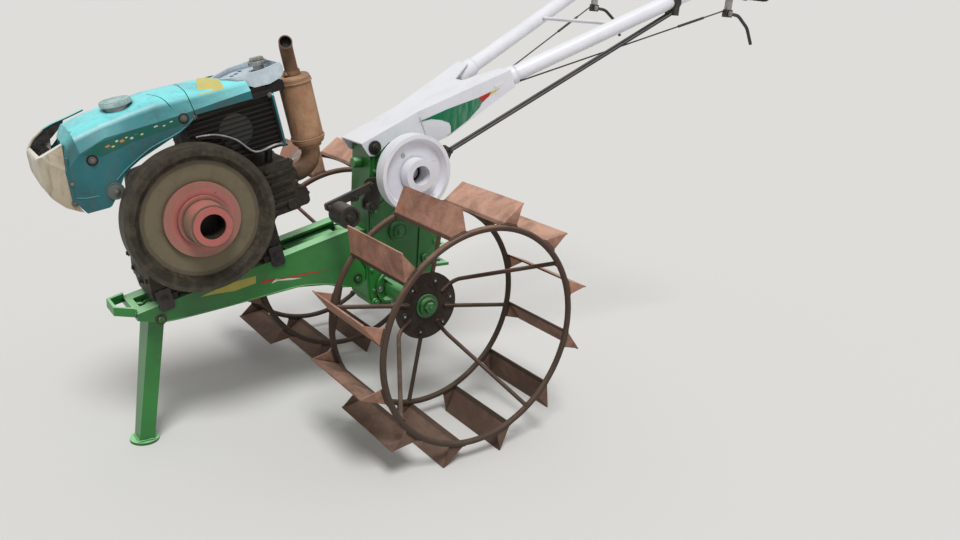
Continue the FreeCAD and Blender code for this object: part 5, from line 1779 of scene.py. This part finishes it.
@dataclass(frozen=True)
class Handle:
    """The handlebar tubes: clamp bolts, welds and lever pivots."""

    start: tuple[float, float, float] = (-320.0, 105.0, 1044.9)
    run: tuple[float, float, float] = (-0.876, 0.2153, 0.431)
    clamp_radius: float = 29.5
    clamp_bolts: tuple[float, float] = (8.0, 52.0)
    weld_along: float = 76.0
    pivots: Places = ((-1215, 283.9, 1326.1), (-1100, -283.9, 1315.1))

    def dress(self, shop: Workshop) -> None:
        """Builds both handles' fittings."""
        for side in Side:
            self._sleeve(shop, side)
        self._levers(shop)

    def _on_tube(self, side: Side, along: float, out: Vector = Vector((0.0, 0.0, 0.0))) -> Vector:
        """Gives a point along a handle tube, in millimetres from its start."""
        x, y, z = (a + b * along for a, b in zip(self.start, self.run))
        return at(x, side.value * y, z) + out

    def _way(self, side: Side) -> Vector:
        """Gives the direction in which a handle tube runs back."""
        return Vector((self.run[0], side.value * self.run[1], self.run[2])).normalized()

    def _sleeve(self, shop: Workshop, side: Side) -> None:
        """Adds the pinch bolts of the handle clamp and the weld round its end."""
        way = self._way(side)
        below = -UP + way * UP.dot(way)
        bolts = Shape()
        for along in self.clamp_bolts:
            bolts.bolt(self._on_tube(side, along, below.normalized() * self.clamp_radius * MM), below, 7.0)
        shop.piece(f"handle_clamp_bolts_{side.tag}", Body.FRAME, Slot.BRIGHT, bolts)
        weld = Shape()
        weld.round_bead(self._on_tube(side, self.weld_along), way, self.clamp_radius, 2.6, 26)
        shop.piece(f"handle_weld_{side.tag}", Body.FRAME, Slot.WHITE, weld)

    def _levers(self, shop: Workshop) -> None:
        """Puts pivot bolts through the hand levers."""
        pivots = Shape()
        for ahead, side, up in self.pivots:
            pivots.drum(at(ahead, side - 16, up), NEAR, 4.5, 32.0, 16, 0.8)
            for way in (-1, 1):
                pivots.bolt(at(ahead, side + way * 12, up), NEAR * way, 6.5)
        shop.piece("lever_pivots", Body.FRAME, Slot.BRIGHT, pivots)


@dataclass(frozen=True)
class Studio:
    """Pale floor, soft light and the camera of the photograph."""

    floor_half: float = 60.0
    camera_place: tuple[float, float, float] = (1.5278, 2.2179, 1.2516)
    azimuth_deg: float = 142.15
    elevation_deg: float = 17.43
    roll_deg: float = 4.64
    lens_mm: float = 30.34
    sensor_mm: float = 36.0
    sun_way: tuple[float, float, float] = (0.25, 0.45, 0.86)
    sun_strength: float = 2.12
    sun_angle_deg: float = 20.0
    soft_strength: float = 0.42
    pale: Colour = srgb(222, 221, 218)

    def build(self) -> None:
        """Builds the floor, the world, the sun and the camera."""
        self._floor()
        self._world()
        self._sun()
        self._camera()
        bpy.context.scene.view_settings.view_transform = "Standard"

    def _floor(self) -> None:
        """Builds a plain pale floor."""
        shape = bmesh.new()
        bmesh.ops.create_grid(shape, x_segments=1, y_segments=1, size=self.floor_half)
        mesh = bpy.data.meshes.new("floor")
        shape.to_mesh(mesh)
        shape.free()
        made, _graph, shader = new_material("floor_pale")
        shader.inputs["Base Color"].default_value = (*self.pale, 1.0)
        shader.inputs["Roughness"].default_value = 1.0
        shader.inputs["Specular IOR Level"].default_value = 0.0
        mesh.materials.append(made)
        floor = bpy.data.objects.new("floor", mesh)
        bpy.context.scene.collection.objects.link(floor)

    def _world(self) -> None:
        """Lights the object softly, and shows a pale backdrop to the camera and in reflections."""
        world = bpy.data.worlds.new("studio")
        world.use_nodes = True
        world.node_tree.nodes.clear()
        graph = Graph(world.node_tree)
        soft = graph.node("ShaderNodeBackground")
        graph.feed(soft.inputs["Color"], (1.0, 1.0, 1.0))
        soft.inputs["Strength"].default_value = self.soft_strength
        shown = graph.node("ShaderNodeBackground")
        graph.feed(shown.inputs["Color"], self.pale)
        shown.inputs["Strength"].default_value = 1.0
        path = graph.node("ShaderNodeLightPath")
        seen = graph.maths("MAXIMUM", path.outputs["Is Camera Ray"], path.outputs["Is Glossy Ray"])
        seen = graph.maths("MAXIMUM", seen, path.outputs["Is Transmission Ray"])
        mixed = graph.node("ShaderNodeMixShader")
        graph.feed(mixed.inputs[0], seen)
        graph.feed(mixed.inputs[1], soft.outputs[0])
        graph.feed(mixed.inputs[2], shown.outputs[0])
        graph.feed(graph.node("ShaderNodeOutputWorld").inputs["Surface"], mixed.outputs[0])
        bpy.context.scene.world = world

    def _sun(self) -> None:
        """Hangs one wide, soft sun over the camera's side."""
        sun = bpy.data.lights.new("sun", "SUN")
        sun.energy = self.sun_strength
        sun.angle = math.radians(self.sun_angle_deg)
        holder = bpy.data.objects.new("sun", sun)
        holder.rotation_euler = Vector(self.sun_way).to_track_quat("Z", "Y").to_euler()
        bpy.context.scene.collection.objects.link(holder)

    def _camera(self) -> None:
        """Sets the camera at the photograph's place, direction and roll."""
        camera = bpy.data.cameras.new("camera")
        camera.lens = self.lens_mm
        camera.sensor_width = self.sensor_mm
        turn, rise = math.radians(self.azimuth_deg), math.radians(self.elevation_deg)
        back = Vector((math.sin(turn) * math.cos(rise), -math.cos(turn) * math.cos(rise), math.sin(rise)))
        roll = Matrix.Rotation(math.radians(self.roll_deg), 3, "Z")
        facing = back.to_track_quat("Z", "Y").to_matrix() @ roll
        holder = bpy.data.objects.new("camera", camera)
        holder.matrix_world = Matrix.Translation(self.camera_place) @ facing.to_4x4()
        bpy.context.scene.collection.objects.link(holder)
        bpy.context.scene.camera = holder


def main() -> None:
    """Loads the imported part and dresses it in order."""
    logging.basicConfig(level=logging.INFO, format="%(message)s")
    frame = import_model()
    shop = Workshop(frame)
    parts = (CageWheel(Side.NEAR, Body.LEFT_WHEEL), CageWheel(Side.FAR, Body.RIGHT_WHEEL), GearCase(),
             Chassis(), Stand(), Hitch(), Engine(), Hood(), LampUnit(), Radiator(), Exhaust(), AirCleaner(),
             Drive(), Bracket(), Handle())
    for part in parts:
        LOG.info("dressing %s", type(part).__name__)
        part.dress(shop)
    Studio().build()


if __name__ == "__main__":
    main()
